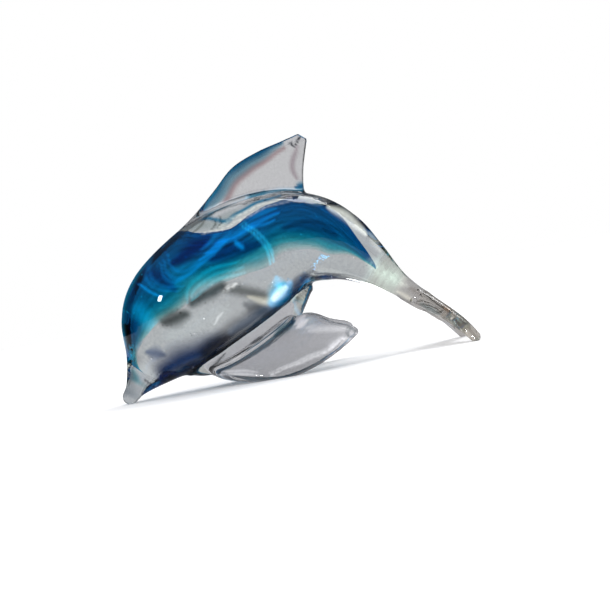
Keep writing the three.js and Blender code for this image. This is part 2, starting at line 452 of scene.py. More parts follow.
BODY_ROWS = (
    (-86.4, 3.4, 3.9, 4.0, 4.6),
    (-83.0, 7.4, 5.2, 5.8, 6.4),
    (-75.5, 16.0, 12.0, 13.2, 12.5),
    (-66.0, 26.0, 24.3, 22.0, 19.5),
    (-54.0, 37.0, 31.0, 28.0, 25.0),
    (-37.0, 50.0, 31.2, 32.0, 27.5),
    (-19.0, 59.3, 29.5, 32.0, 27.5),
    (-1.0, 64.0, 26.8, 29.0, 25.0),
    (16.0, 62.6, 23.8, 22.3, 20.5),
    (30.0, 56.0, 19.2, 16.3, 16.0),
    (42.0, 46.6, 12.9, 10.6, 11.6),
    (54.0, 35.2, 6.7, 6.1, 7.4),
    (62.5, 27.0, 4.8, 5.2, 6.4),
    (66.0, 23.8, 4.2, 4.8, 6.0),
)
BELLY_ROWS = (
    (-54.0, 10.6, 2.6, 2.6, 3.6),
    (-46.0, 11.4, 5.0, 5.0, 9.0),
    (-33.0, 14.8, 7.2, 7.2, 11.5),
    (-18.0, 21.0, 8.2, 8.2, 11.5),
    (-5.0, 28.0, 8.2, 8.2, 10.5),
    (4.0, 35.5, 6.0, 6.0, 8.5),
    (10.5, 40.0, 3.0, 3.0, 5.0),
)
DORSAL_ROWS = (
    ((-52.0, 0, 76.0), (18.0, 0, 76.0), 9.0),
    ((-36.5, 0, 87.6), (18.3, 0, 86.5), 8.8),
    ((-25.6, 0, 96.8), (18.8, 0, 92.5), 7.6),
    ((-14.8, 0, 106.2), (20.2, 0, 99.5), 6.4),
    ((-1.4, 0, 111.5), (22.2, 0, 106.0), 5.4),
    ((11.6, 0, 114.5), (23.8, 0, 110.8), 4.8),
    ((20.6, 0, 116.6), (24.6, 0, 113.2), 4.2),
)
PECTORAL_ROWS = (
    ((-46.0, 6.0, 8.6), (-42.0, 3.0, 12.5), 3.6),
    ((-38.0, 15.0, 4.2), (-30.0, 4.0, 15.5), 5.0),
    ((-24.0, 23.0, 0.8), (-13.0, 6.0, 20.5), 5.4),
    ((-8.0, 29.5, -0.5), (1.0, 8.0, 26.0), 5.2),
    ((7.5, 34.0, 3.4), (10.0, 17.0, 27.8), 4.8),
    ((19.5, 37.0, 9.0), (20.0, 28.5, 21.8), 4.4),
    ((28.0, 38.0, 13.4), (27.6, 35.2, 19.0), 4.2),
    ((30.6, 38.3, 15.4), (30.5, 37.6, 17.0), 4.0),
)
FLUKE_ROWS = (
    ((57.5, 1.5, 30.5), (72.0, -5.0, 17.0), 8.0),
    ((64.0, 8.6, 24.6), (78.2, 1.2, 11.8), 7.4),
    ((72.0, 18.0, 17.4), (81.4, 9.6, 9.2), 6.6),
    ((80.0, 26.0, 9.4), (84.4, 18.4, 5.6), 5.8),
    ((86.2, 32.0, -0.2), (87.2, 27.0, -0.6), 5.0),
)


class Side(Enum):
    """The two sides of the dolphin."""

    LEFT = -1
    RIGHT = 1


class Skin:
    """The whole outer surface of the dolphin, in which the hot pieces have flowed together."""

    PECTORAL_RIM = 2.8
    DORSAL_RIM = 4.0
    FLUKE_RIM = 3.0
    BELLY_FILLET = 4.0
    DORSAL_FILLET = 3.0
    PECTORAL_FILLET = 5.0
    CROTCH_FILLET = 3.0
    FLUKE_FILLET = 4.0
    FOOT_FILLET = 0.8
    LOW = (-93.0, -41.0, -2.0)
    HIGH = (92.0, 41.0, 120.0)

    def __init__(self) -> None:
        """Makes the fields of the body and the fins."""
        self.body = Sweep(BODY_ROWS)
        self.belly = Sweep(BELLY_ROWS)
        self.dorsal = Blade(DORSAL_ROWS, self.DORSAL_RIM)
        self.pectorals = [Blade(PECTORAL_ROWS, self.PECTORAL_RIM, side.value) for side in Side]
        self.flukes = [Blade(FLUKE_ROWS, self.FLUKE_RIM, side.value) for side in Side]

    def field(self, points: Array) -> Array:
        """Returns roughly how far each point is outside the glass, negative inside."""
        shape = blend(self.body.field(points), self.belly.field(points), self.BELLY_FILLET)
        shape = blend(shape, self.dorsal.field(points), self.DORSAL_FILLET)
        for fin in self.pectorals:
            shape = blend(shape, fin.field(points), self.PECTORAL_FILLET)
        tail = blend(self.flukes[0].field(points), self.flukes[1].field(points), self.CROTCH_FILLET)
        shape = blend(shape, tail, self.FLUKE_FILLET)
        return -blend(-shape, points[:, 2], self.FOOT_FILLET)

    def build(self, pitch: float) -> bpy.types.Object:
        """Returns the whole skin as one closed mesh, before it is parted into pieces."""
        points, faces = surface_of(self.field, np.array(self.LOW), np.array(self.HIGH), pitch)
        LOG.info("skin: %d points", len(points))
        return new_mesh("skin", points, faces.tolist())


def slab(name: str, outline: Sequence[Sequence[float]], low: float, high: float) -> bpy.types.Object:
    """Makes a cutter: an outline in x and z, carried sideways from low to high.

    Args:
        name: The cutter's name.
        outline: Points in row millimetres.
        low: The least y.
        high: The most y.

    Returns:
        The cutter, with its faces pointing out.
    """
    count = len(outline)
    points = np.array([(x, y, z) for y in (low, high) for x, z in outline], float)
    faces = [list(range(count)), list(range(2 * count - 1, count - 1, -1))]
    for here in range(count):
        after = (here + 1) % count
        faces.append([here, here + count, after + count, after])
    cutter = new_mesh(name, points, faces)
    turn_outwards(cutter.data)
    return cutter


CUT_REACH = 150.0


def beyond(point: Sequence[float], direction: Sequence[float],
           beside: float = CUT_REACH) -> list[Flat]:
    """Returns the outline of what lies past a line in the middle plane.

    Args:
        point: A point of the line, as x and z.
        direction: The way that is kept.
        beside: How far the outline goes to each side of the point.

    Returns:
        Four corners.
    """
    way = np.array(direction, float) / np.linalg.norm(direction)
    ahead = way * CUT_REACH
    across = np.array([-way[1], way[0]]) * beside
    start = np.array(point, float)
    corners = (start + across, start - across, start - across + ahead, start + across + ahead)
    return [tuple(corner) for corner in corners]


# ------------------------------------------------------------------ finishes

def add_node(tree: bpy.types.NodeTree, kind: str, **values: object) -> bpy.types.Node:
    """Adds a node and sets its own properties and its inputs.

    Args:
        tree: The tree that the node goes in.
        kind: The node's type.
        **values: A property's name, or an input's name with spaces as underscores.

    Returns:
        The new node.
    """
    node = tree.nodes.new(kind)
    for name, value in values.items():
        if hasattr(node, name):
            setattr(node, name, value)
        else:
            node.inputs[name.replace("_", " ")].default_value = value
    return node


STROKE_STEPS = 24
FINEST_STROKE = 0.05
SIDE_FADE = 2.0
CRACKLE = 0.45
HAND_SHAKE = 0.5


@dataclass(frozen=True)
class Touch:
    """A soft stroke in the glass: a stain that light passes through, a real stain in some places and
    painted shade in others, or a gleam, which is painted light given off as emission.

    The path is in x and z of the rows. Side is where it lies, or None for both sides.
    """

    path: tuple[Flat, ...]
    reach: float
    stain: Colour = (1.0, 1.0, 1.0)
    gleam: Colour = (0.0, 0.0, 0.0)
    side: Side | None = None
    taper: float = 0.6
    crackle: bool = False

    def mask(self, points: Array) -> Array:
        """Returns how strongly the stroke covers points, from 0 to 1.

        Args:
            points: Points in row millimetres.

        Returns:
            One number a point.
        """
        flat = points[:, [0, 2]]
        line = np.array(self.path, float)
        if len(line) > 2:
            line = Spline(line).at(np.linspace(0, 1, STROKE_STEPS))
        least = np.full(len(flat), np.inf)
        along = np.zeros(len(flat))
        for number, (start, end) in enumerate(zip(line[:-1], line[1:])):
            run = end - start
            part = np.clip((flat - start) @ run / max(run @ run, NO_RUN), 0, 1)
            away = np.linalg.norm(flat - start - part[:, None] * run, axis=1)
            along = np.where(away < least, (number + part) / (len(line) - 1), along)
            least = np.minimum(least, away)
        wide = self.reach * (1 - self.taper * np.abs(2 * along - 1) ** 2)
        cover = np.clip(1 - least / np.maximum(wide, FINEST_STROKE), 0, 1)
        cover = cover * cover * (3 - 2 * cover)
        if self.crackle:
            x, z = flat.T
            cells = np.sin(2.1 * x + 1.7 * np.sin(1.9 * z)) * np.sin(2.3 * z + 1.3 * np.sin(2.2 * x))
            cover = cover * (1 - CRACKLE + CRACKLE * cells)
        if self.side is None:
            return cover
        return cover * np.clip(points[:, 1] * self.side.value / SIDE_FADE, 0, 1)


def wander(points: Array, size: float) -> Array:
    """Returns points moved a little by smooth waves, so that strokes get hand-drawn edges."""
    x, y, z = points.T
    moved = points.copy()
    moved[:, 0] += size * (np.sin(0.19 * z + 0.07 * y) + 0.4 * np.sin(0.43 * z - 0.25 * x + 1.3))
    moved[:, 2] += size * (np.sin(0.17 * x - 0.09 * y + 2.1) + 0.4 * np.sin(0.37 * x + 0.3 * z))
    return moved


def paint(mesh: bpy.types.Mesh, points: Array, base: Array, touches: Sequence[Touch]) -> None:
    """Keeps the glass's stain, painted shade in places, and its gleam of painted light on a mesh, as two
    colour attributes.

    A stain is what one crossing of the surface lets through, and the shader takes its square; a gleam is
    painted light that the shader gives off as emission.

    Args:
        mesh: The mesh.
        points: Its points in row millimetres.
        base: The stain that the strokes are laid over, one colour a point.
        touches: The strokes.
    """
    moved = wander(points, HAND_SHAKE)
    stain = np.array(base, float)
    gleam = np.zeros_like(stain)
    for touch in touches:
        cover = touch.mask(moved)[:, None]
        stain *= 1 - cover * (1 - np.array(touch.stain))
        gleam += cover * np.array(touch.gleam)
    for name, colour, power in (("stain", stain, 2), ("gleam", gleam, 1)):
        layer = mesh.attributes.new(name, "FLOAT_COLOR", "POINT")
        filled = np.column_stack([np.clip(colour, 0, 1) ** power, np.ones(len(colour))])
        layer.data.foreach_set("color", filled.ravel())


@dataclass(frozen=True)
class ArtGlass:
    """Glass with stains, painted shade in places, and gleams of painted light in it: its gather's tint,
    its bending of light and its ripple.
    """

    name: str
    tint: Colour = (0.97, 0.975, 0.98)
    ior: float = 1.5
    ripple: float = 0.0
    grain: float = 0.1
    grain_size: float = 900.0

    def make(self) -> bpy.types.Material:
        """Returns the material."""
        material = bpy.data.materials.new(self.name)
        material.use_nodes = True
        tree = material.node_tree
        shader = tree.nodes["Principled BSDF"]
        shader.inputs["Roughness"].default_value = 0.0
        shader.inputs["IOR"].default_value = self.ior
        shader.inputs["Transmission Weight"].default_value = 1.0
        # Painted light: the gleam attribute feeds Emission Color, so the glass glows wherever a gleam is
        # painted.
        shader.inputs["Emission Strength"].default_value = 1.0
        where = add_node(tree, "ShaderNodeTexCoord")
        stain = add_node(tree, "ShaderNodeAttribute", attribute_name="stain")
        gleam = add_node(tree, "ShaderNodeAttribute", attribute_name="gleam")
        seeds = add_node(tree, "ShaderNodeGroup")
        seeds.node_tree = seeded_stain()
        seeds.inputs["Tint"].default_value = (*self.tint, 1)
        seeds.inputs["Grain"].default_value = self.grain
        seeds.inputs["Size"].default_value = self.grain_size
        links = tree.links
        links.new(where.outputs["Object"], seeds.inputs["Place"])
        links.new(stain.outputs["Color"], seeds.inputs["Stain"])
        links.new(gleam.outputs["Color"], seeds.inputs["Gleam"])
        links.new(seeds.outputs["Stain"], shader.inputs["Base Color"])
        links.new(seeds.outputs["Gleam"], shader.inputs["Emission Color"])
        if self.ripple:
            waves = add_node(tree, "ShaderNodeGroup")
            waves.node_tree = hand_ripple()
            bump = add_node(tree, "ShaderNodeBump")
            bump.inputs["Strength"].default_value = 1.0
            bump.inputs["Distance"].default_value = self.ripple
            links.new(where.outputs["Object"], waves.inputs["Place"])
            links.new(waves.outputs["Height"], bump.inputs["Height"])
            links.new(bump.outputs["Normal"], shader.inputs["Normal"])
        return material


def new_group(name: str, takes: Sequence[tuple[str, str]], gives: Sequence[tuple[str, str]]) -> tuple:
    """Makes an empty shader group with named sockets.

    Args:
        name: The group's name.
        takes: Each input's name and kind.
        gives: Each output's name and kind.

    Returns:
        The group, its input node and its output node.
    """
    group = bpy.data.node_groups.new(name, "ShaderNodeTree")
    for label, kind in takes:
        group.interface.new_socket(name=label, in_out="INPUT", socket_type=f"NodeSocket{kind}")
    for label, kind in gives:
        group.interface.new_socket(name=label, in_out="OUTPUT", socket_type=f"NodeSocket{kind}")
    return group, group.nodes.new("NodeGroupInput"), group.nodes.new("NodeGroupOutput")


GRAIN_RANGE = (0.36, 0.64)
SPARK_POWER = 1.5
CORD_SHARE = 0.12


def seeded_stain() -> bpy.types.NodeTree:
    """Returns the group that breaks a stain, painted shade in places, and a gleam of painted light up
    with fine seeds, built once.
    """
    name = "seeded_stain"
    if name in bpy.data.node_groups:
        return bpy.data.node_groups[name]
    takes = (("Place", "Vector"), ("Stain", "Color"), ("Gleam", "Color"), ("Tint", "Color"),
             ("Grain", "Float"), ("Size", "Float"))
    group, taken, given = new_group(name, takes, (("Stain", "Color"), ("Gleam", "Color")))
    links = group.links
    noise = add_node(group, "ShaderNodeTexNoise", Detail=3.0, Roughness=0.7)
    links.new(taken.outputs["Place"], noise.inputs["Vector"])
    links.new(taken.outputs["Size"], noise.inputs["Scale"])
    shade = add_node(group, "ShaderNodeMapRange")
    shade.inputs["From Min"].default_value, shade.inputs["From Max"].default_value = GRAIN_RANGE
    shade.inputs["To Max"].default_value = 1.0
    low = add_node(group, "ShaderNodeMath", operation="SUBTRACT")
    low.inputs[0].default_value = 1.0
    links.new(taken.outputs["Grain"], low.inputs[1])
    links.new(low.outputs[0], shade.inputs["To Min"])
    links.new(noise.outputs["Fac"], shade.inputs["Value"])
    tinted = add_node(group, "ShaderNodeVectorMath", operation="MULTIPLY")
    links.new(taken.outputs["Stain"], tinted.inputs[0])
    links.new(taken.outputs["Tint"], tinted.inputs[1])
    grained = add_node(group, "ShaderNodeVectorMath", operation="SCALE")
    links.new(tinted.outputs[0], grained.inputs[0])
    links.new(shade.outputs["Result"], grained.inputs["Scale"])
    links.new(grained.outputs[0], given.inputs["Stain"])
    spark = add_node(group, "ShaderNodeMath", operation="POWER")
    spark.inputs[1].default_value = SPARK_POWER
    links.new(shade.outputs["Result"], spark.inputs[0])
    lit = add_node(group, "ShaderNodeVectorMath", operation="SCALE")
    links.new(taken.outputs["Gleam"], lit.inputs[0])
    links.new(spark.outputs[0], lit.inputs["Scale"])
    links.new(lit.outputs[0], given.inputs["Gleam"])
    return group


def hand_ripple() -> bpy.types.NodeTree:
    """Returns the group that gives the slow waves and fine cords of hand-worked glass, built once."""
    name = "hand_ripple"
    if name in bpy.data.node_groups:
        return bpy.data.node_groups[name]
    group, taken, given = new_group(name, (("Place", "Vector"),), (("Height", "Float"),))
    slow = add_node(group, "ShaderNodeTexNoise", Scale=55.0, Detail=1.0)
    cords = add_node(group, "ShaderNodeTexNoise", Scale=160.0, Detail=2.0, Distortion=0.6)
    small = add_node(group, "ShaderNodeMath", operation="MULTIPLY")
    small.inputs[1].default_value = CORD_SHARE
    total = add_node(group, "ShaderNodeMath", operation="ADD")
    links = group.links
    links.new(taken.outputs["Place"], slow.inputs["Vector"])
    links.new(taken.outputs["Place"], cords.inputs["Vector"])
    links.new(cords.outputs["Fac"], small.inputs[0])
    links.new(slow.outputs["Fac"], total.inputs[0])
    links.new(small.outputs[0], total.inputs[1])
    links.new(total.outputs[0], given.inputs["Height"])
    return group


@dataclass(frozen=True)
class Weld:
    """A joint where two gathers have become one glass, so light goes straight through it."""

    name: str = "fused_joint"

    def make(self) -> bpy.types.Material:
        """Returns the material."""
        material = bpy.data.materials.new(self.name)
        material.use_nodes = True
        tree = material.node_tree
        tree.nodes.clear()
        clear = add_node(tree, "ShaderNodeBsdfTransparent")
        output = add_node(tree, "ShaderNodeOutputMaterial")
        tree.links.new(clear.outputs[0], output.inputs["Surface"])
        return material


# ------------------------------------------------------------------ parting the skin

@dataclass
class Parting:
    """Parts the whole skin into the gathers that the dolphin is made of."""

    skin: Skin
    whole: bpy.types.Object
    glass: bpy.types.Material
    weld: bpy.types.Material
    on_skin: float = 0.3
    along_skin: float = 0.6
    same_digits: int = 8

    def cut(self, name: str, keep: Sequence[bpy.types.Object],
            drop: Sequence[bpy.types.Object]) -> bpy.types.Object:
        """Makes one piece of the skin and dresses its outside and its joints.

        Args:
            name: The piece's name, under which its strokes are kept.
            keep: Cutters that the piece is inside of.
            drop: Cutters that the piece is outside of.

        Returns:
            The piece, closed, with exact normals.
        """
        piece = self.whole.copy()
        piece.data = self.whole.data.copy()
        piece.name = piece.data.name = name
        bpy.context.scene.collection.objects.link(piece)
        for operation, cutters in (("INTERSECT", keep), ("DIFFERENCE", drop)):
            for cutter in cutters:
                step = piece.modifiers.new("cut", "BOOLEAN")
                step.solver = "MANIFOLD"
                step.operation = operation
                step.object = cutter
        mesh = bake(piece)
        self.drop_slivers(mesh)
        self.dress(mesh, GATHER_TINTS_AND_SHADE.get(name, PLAIN_TINT), SKIN_MARKS_AND_PAINTED_LIGHT.get(name, ()))
        LOG.info("%s: %d faces", name, len(mesh.polygons))
        return piece

    def drop_slivers(self, mesh: bpy.types.Mesh) -> None:
        """Takes out pairs of faces that a cut leaves back to back, with no glass between them."""
        work = bmesh.new()
        work.from_mesh(mesh)
        bmesh.ops.triangulate(work, faces=work.faces)
        same_place: dict[frozenset, list[bmesh.types.BMFace]] = {}
        for face in work.faces:
            corners = frozenset(tuple(round(value, self.same_digits) for value in vert.co)
                                for vert in face.verts)
            same_place.setdefault(corners, []).append(face)
        slivers = [face for faces in same_place.values() if len(faces) > 1 for face in faces]
        bmesh.ops.delete(work, geom=slivers, context="FACES")
        work.to_mesh(mesh)
        work.free()

    def dress(self, mesh: bpy.types.Mesh, tint: Sequence[float], touches: Sequence[Touch]) -> None:
        """Tells the outside from the joints, gives the outside its exact normals, and paints it.

        Args:
            mesh: The piece's mesh.
            tint: The stain of its own glass, with painted shade in it.
            touches: Its strokes.
        """
        mesh.materials.clear()
        mesh.materials.append(self.glass)
        mesh.materials.append(self.weld)
        count = len(mesh.polygons)
        points = row_points(mesh)
        centres = np.empty(count * 3)
        mesh.polygons.foreach_get("center", centres)
        centres = centres.reshape(-1, 3) / MM - np.array([ROW_SHIFT, 0, 0])
        facing = np.empty(count * 3)
        mesh.polygons.foreach_get("normal", facing)
        facing = facing.reshape(-1, 3)
        on_skin = np.abs(self.skin.field(centres)) < self.on_skin
        aligned = (unit(gradient(self.skin.field, centres)) * facing).sum(1) > self.along_skin
        outside = on_skin & aligned
        mesh.polygons.foreach_set("material_index", np.where(outside, 0, 1))
        mesh.polygons.foreach_set("use_smooth", [True] * count)
        smooth = unit(gradient(self.skin.field, points))
        corner = np.empty(len(mesh.loops), int)
        mesh.loops.foreach_get("vertex_index", corner)
        starts = np.empty(count, int)
        totals = np.empty(count, int)
        mesh.polygons.foreach_get("loop_start", starts)
        mesh.polygons.foreach_get("loop_total", totals)
        owner = np.repeat(np.arange(count), totals)
        normals = np.where(outside[owner][:, None], smooth[corner], facing[owner])
        mesh.normals_split_custom_set(normals.tolist())
        paint(mesh, points, np.tile(tint, (len(points), 1)), touches)


BEAK_JOINT = ((-76.9, 14.4), (0.66, 0.75))
STALK_JOINT = ((45.3, 43.7), (0.72, -0.69))
FLUKE_JOINT = ((64.5, 25.2), (0.72, -0.69))
DORSAL_CUT = ((-60, 96), (-49, 84.5), (-44, 81.6), (-38, 82.4), (-27, 85.6), (-14, 88.2), (-2, 89.6),
              (10, 89.0), (17, 87.2), (21, 86.8), (26, 90), (40, 100), (40, 130), (-60, 130))
BELLY_CUT = ((-62, 2), (-59.5, 7.6), (-56, 10.4), (-52, 12.0), (-40, 15.0), (-27, 20.0), (-14, 26.6),
             (-2, 33.4), (5, 38.2), (10, 42.6), (15.5, 43.6), (18.5, 40.6), (21, 36.5), (45, 33),
             (45, -20), (-62, -20))
STALK_CUT_BESIDE = 21.0
FIN_PLANE_Y = 9.0
WIDE = 60.0
WHOLE = ((-100, -20), (100, -20), (100, 130), (-100, 130))


class Glassware:
    """The pieces of clear glass that show: body, beak, tail, belly gather and fins."""

    def __init__(self, pitch: float, glass: bpy.types.Material, weld: bpy.types.Material) -> None:
        """Makes the skin and the cutters.

        Args:
            pitch: About the size of the skin's faces, in millimetres.
            glass: The outside's material.
            weld: The joints' material.
        """
        skin = Skin()
        self.parting = Parting(skin, skin.build(pitch), glass, weld)
        self.front = slab("front_cutter", beyond(BEAK_JOINT[0], -np.array(BEAK_JOINT[1])), -WIDE, WIDE)
        self.rear = slab("rear_cutter", beyond(*STALK_JOINT, STALK_CUT_BESIDE), -WIDE, WIDE)
        self.tail = slab("tail_cutter", beyond(*FLUKE_JOINT), -WIDE, WIDE)
        self.top = slab("top_cutter", DORSAL_CUT, -WIDE, WIDE)
        self.under = slab("under_cutter", BELLY_CUT, -WIDE, WIDE)
        self.half = {Side.LEFT: slab("left_cutter", WHOLE, -WIDE, 0.0),
                     Side.RIGHT: slab("right_cutter", WHOLE, 0.0, WIDE)}
        self.out = {Side.LEFT: slab("left_out_cutter", WHOLE, -WIDE, -FIN_PLANE_Y),
                    Side.RIGHT: slab("right_out_cutter", WHOLE, FIN_PLANE_Y, WIDE)}

    def build(self) -> dict[str, bpy.types.Object]:
        """Returns every clear piece by its name."""
        cut = self.parting.cut
        pieces = [
            cut("cased_body", [], [self.front, self.rear, self.top, self.under]),
            cut("drawn_beak", [self.front], []),
            cut("drawn_tail_stalk", [self.rear], [self.tail]),
            cut("belly_bit", [self.under], [self.out[side] for side in Side]),
            cut("sheared_dorsal_fin", [self.top], []),
        ]
        for side in Side:
            word = side.name.lower()
            pieces.append(cut(f"{word}_flipper", [self.under, self.out[side]], []))
            pieces.append(cut(f"{word}_tail_fluke", [self.tail, self.half[side]], []))
        for cutter in (self.front, self.rear, self.tail, self.top, self.under, self.parting.whole,
                       *self.half.values(), *self.out.values()):
            bpy.data.objects.remove(cutter, do_unlink=True)
        return {piece.name: piece for piece in pieces}


# ------------------------------------------------------------------ inside the glass

CORE_ROWS = (
    (0.15, 0.90, 0.86, 0.90, 0.160, 0.160),
    (0.19, 0.94, 0.90, 0.94, 0.178, 0.185),
    (0.23, 0.95, 0.90, 0.95, 0.198, 0.205),
    (0.27, 0.95, 0.90, 0.95, 0.208, 0.215),
    (0.31, 0.94, 0.90, 0.94, 0.228, 0.230),
    (0.35, 0.92, 0.88, 0.90, 0.248, 0.242),
    (0.39, 0.84, 0.84, 0.80, 0.262, 0.250),
    (0.43, 0.54, 0.84, 0.66, 0.278, 0.255),
    (0.47, 0.41, 0.84, 0.62, 0.292, 0.255),
    (0.51, 0.47, 0.84, 0.62, 0.300, 0.255),
    (0.55, 0.57, 0.84, 0.62, 0.290, 0.255),
    (0.59, 0.68, 0.82, 0.64, 0.280, 0.255),
    (0.63, 0.66, 0.80, 0.62, 0.283, 0.255),
    (0.67, 0.56, 0.76, 0.58, 0.290, 0.250),
    (0.71, 0.40, 0.70, 0.50, 0.275, 0.245),
    (0.75, 0.28, 0.60, 0.42, 0.250, 0.235),
    (0.79, 0.22, 0.50, 0.34, 0.235, 0.225),
)
BLUE_STOPS = (
    (0.00, 1.000, 1.00, 1.00),
    (0.05, 0.560, 0.88, 0.90),
    (0.12, 0.080, 0.62, 0.76),
    (0.28, 0.004, 0.44, 0.68),
    (0.60, 0.002, 0.36, 0.64),
    (1.00, 0.002, 0.34, 0.62),
)
NEAR = Side.LEFT


def flow(path: Sequence[Flat], shifts: Sequence[Flat], reach: float,
         gleam: Colour) -> tuple[Touch, ...]:
    """Returns fine strokes of painted light that run side by side, as the cords of drawn-out glass do.

    Args:
        path: The first stroke's path.
        shifts: How far each stroke is moved from the first, in x and z.
        reach: Half of each stroke's width.
        gleam: Each stroke's gleam, painted light given off as emission.

    Returns:
        One touch for each shift.
    """
    return tuple(Touch(tuple((x + right, z + up) for x, z in path), reach, gleam=gleam, side=NEAR,
                       taper=0.6) for right, up in shifts)


# On the blue layer's near side the gleams are painted light: bright cords, a cyan spot and caustics
# given off as emission. The stains make the blue deeper in places.
BLUE_TOUCHES = (
    *flow(((-14.6, 74.6), (-8.3, 70.8), (-4.6, 62.6), (-3.2, 53.0)), ((0, 0), (-1.6, -0.9)), 1.3,
          (0.01, 0.17, 0.25)),
    *flow(((-36.0, 66.5), (-20.1, 72.4), (-7.6, 77.0), (3.0, 78.4)), ((0, 0), (1, -2.0), (-2, -4.2)),
          1.5, (0.0, 0.09, 0.24)),
    *flow(((-55.5, 66.0), (-55.0, 60.3), (-48.9, 56.8), (-38.1, 60.6), (-22.4, 68.8)),
          ((0, 0), (-1.8, -1.4), (2.5, 2.6)), 1.6, (0.0, 0.05, 0.13)),
    *flow(((-47.4, 43.9), (-44.6, 51.8), (-34.1, 56.8), (-20.8, 59.0)),
          ((0, 0), (2.0, -2.6), (3.0, -5.0)), 2.0, (0.0, 0.10, 0.13)),
    *flow(((-62.0, 67.0), (-66.0, 60.0), (-62.0, 54.0), (-50.0, 51.0)), ((0, 0), (2.2, 1.5)), 1.8,
          (0.0, 0.04, 0.10)),
    Touch(((-70.3, 56.9), (-64.7, 52.4), (-58.0, 48.7)), 1.2, gleam=(0.0, 0.13, 0.3), side=NEAR),
    Touch(((-71.1, 44.8), (-67.7, 36.7)), 6.5, gleam=(0.0, 0.10, 0.17), side=NEAR, taper=0.0),
    Touch(((-2.6, 46.8), (-2.9, 51.3)), 4.0, gleam=(0.0, 0.5, 0.8), side=NEAR),
    Touch(((-19.5, 67.0), (-17.5, 65.5)), 2.0, gleam=(0.0, 0.18, 0.4), side=NEAR, taper=0.0),
    Touch(((-52.0, 64.0), (-40.0, 67.5), (-30.0, 70.5)), 5.5, stain=(0.3, 0.45, 0.7), side=NEAR),
    Touch(((-66.0, 62.0), (-58.0, 58.0), (-52.0, 52.0)), 5.0, stain=(0.4, 0.6, 0.78), side=NEAR),
    Touch(((-33.0, 61.5), (-22.0, 64.0), (-8.0, 66.0)), 5.5, stain=(0.45, 0.6, 0.78), side=NEAR),
    Touch(((-76.0, 38.0), (-78.0, 30.0)), 6.0, stain=(0.4, 0.65, 0.8), side=NEAR, taper=0.0),
    Touch(((4.0, 70.0), (18.0, 69.0), (28.0, 63.0)), 6.0, stain=(0.5, 0.72, 0.82), side=NEAR),
)
# Painted shade and light on the near side of the clear core, which has no colour of its own: a navy band
# along the belly and dark grey blotches stand for the blue back and the dark room seen through the
# glass, and the gleams, with the cyan stain under them, are painted highlights and caustics.
HEART_PAINTED_SHADE_AND_LIGHT = (
    Touch(((-65.3, 13.5), (-57.6, 17.0), (-48.3, 19.6), (-37.2, 22.6)), 12.5,
          stain=(0.01, 0.05, 0.18), side=NEAR, taper=0.3),
    Touch(((-44.2, 20.2), (-31.8, 25.0), (-22.2, 29.8), (-13.9, 34.4)), 8.0,
          stain=(0.12, 0.12, 0.14), side=NEAR, taper=0.2),
    Touch(((-13.4, 32.9), (-3.0, 37.7), (5.5, 42.1), (11.0, 45.6)), 5.5, stain=(0.03, 0.12, 0.32),
          side=NEAR, taper=0.3),
    Touch(((-72.3, 24.0), (-64.3, 21.5)), 5.5, stain=(0.3, 0.36, 0.52), side=NEAR),
    Touch(((-60.1, 37.4), (-50.1, 39.5)), 6.5, stain=(0.12, 0.14, 0.14), side=NEAR, taper=0.3),
    Touch(((-45.2, 44.0), (-35.5, 46.9), (-30.0, 48.8)), 5.6, stain=(0.12, 0.16, 0.17), side=NEAR,
          taper=0.3),
    Touch(((-27.9, 47.5), (-20.0, 45.4), (-11.1, 42.0)), 5.6, stain=(0.3, 0.31, 0.3), side=NEAR,
          taper=0.3),
    Touch(((-20.9, 38.5), (-12.1, 34.0)), 6.5, stain=(0.45, 0.46, 0.48), side=NEAR),
    Touch(((-29.2, 46.4), (-22.5, 49.4)), 2.4, gleam=(0.8, 0.8, 0.8), side=NEAR, crackle=True),
    Touch(((-18.5, 42.2), (-10.2, 39.0), (-4.0, 41.0)), 3.4, gleam=(0.34, 0.31, 0.22), side=NEAR),
    Touch(((-6.8, 39.4), (0.2, 43.2)), 3.3, gleam=(0.8, 0.9, 0.9), side=NEAR, taper=0.4),
    Touch(((-2.6, 44.0), (-3.4, 49.0)), 4.4, gleam=(0.0, 0.34, 0.6), side=NEAR),
    Touch(((-9.0, 37.5), (3.0, 44.9)), 5.5, gleam=(0.0, 0.30, 0.62), side=NEAR),
    Touch(((-9.0, 38.5), (0.0, 44.9)), 6.5, stain=(0.3, 0.8, 1.0), side=NEAR),
    Touch(((-38.0, 31.5), (-35.0, 34.3), (-32.2, 36.3)), 1.0, gleam=(0.35, 0.35, 0.35), side=NEAR),
    Touch(((-60.0, 30.0), (-45.0, 33.0), (-30.0, 38.0)), 9.0, gleam=(0.05, 0.06, 0.06), side=NEAR),
    Touch(((-75.0, 17.5), (-73.0, 14.0)), 4.5, gleam=(0.12, 0.13, 0.13), side=NEAR, taper=0),
)
# Painted light where the tail stalk leaves the body: crackled mint and cream glows stand for the bright
# room seen through the thick glass there, over a faint painted shade.
TAIL_ROOT_PAINTED_LIGHT = (
    Touch(((44.5, 45.0), (50.0, 39.6), (54.5, 35.5)), 6.5, gleam=(0.21, 0.29, 0.24), taper=0.2,
          crackle=True),
    Touch(((44.5, 45.0), (50.0, 39.6), (54.5, 35.5)), 6.5, gleam=(0.03, 0.05, 0.04), taper=0.2),
    Touch(((56.5, 33.8), (59.5, 31.5)), 2.6, gleam=(0.28, 0.30, 0.26), crackle=True),
    Touch(((54.0, 29.5), (60.0, 24.4)), 2.0, gleam=(0.26, 0.25, 0.20)),
    Touch(((60.0, 31.0), (66.0, 26.0)), 3.0, stain=(0.8, 0.77, 0.75)),
)
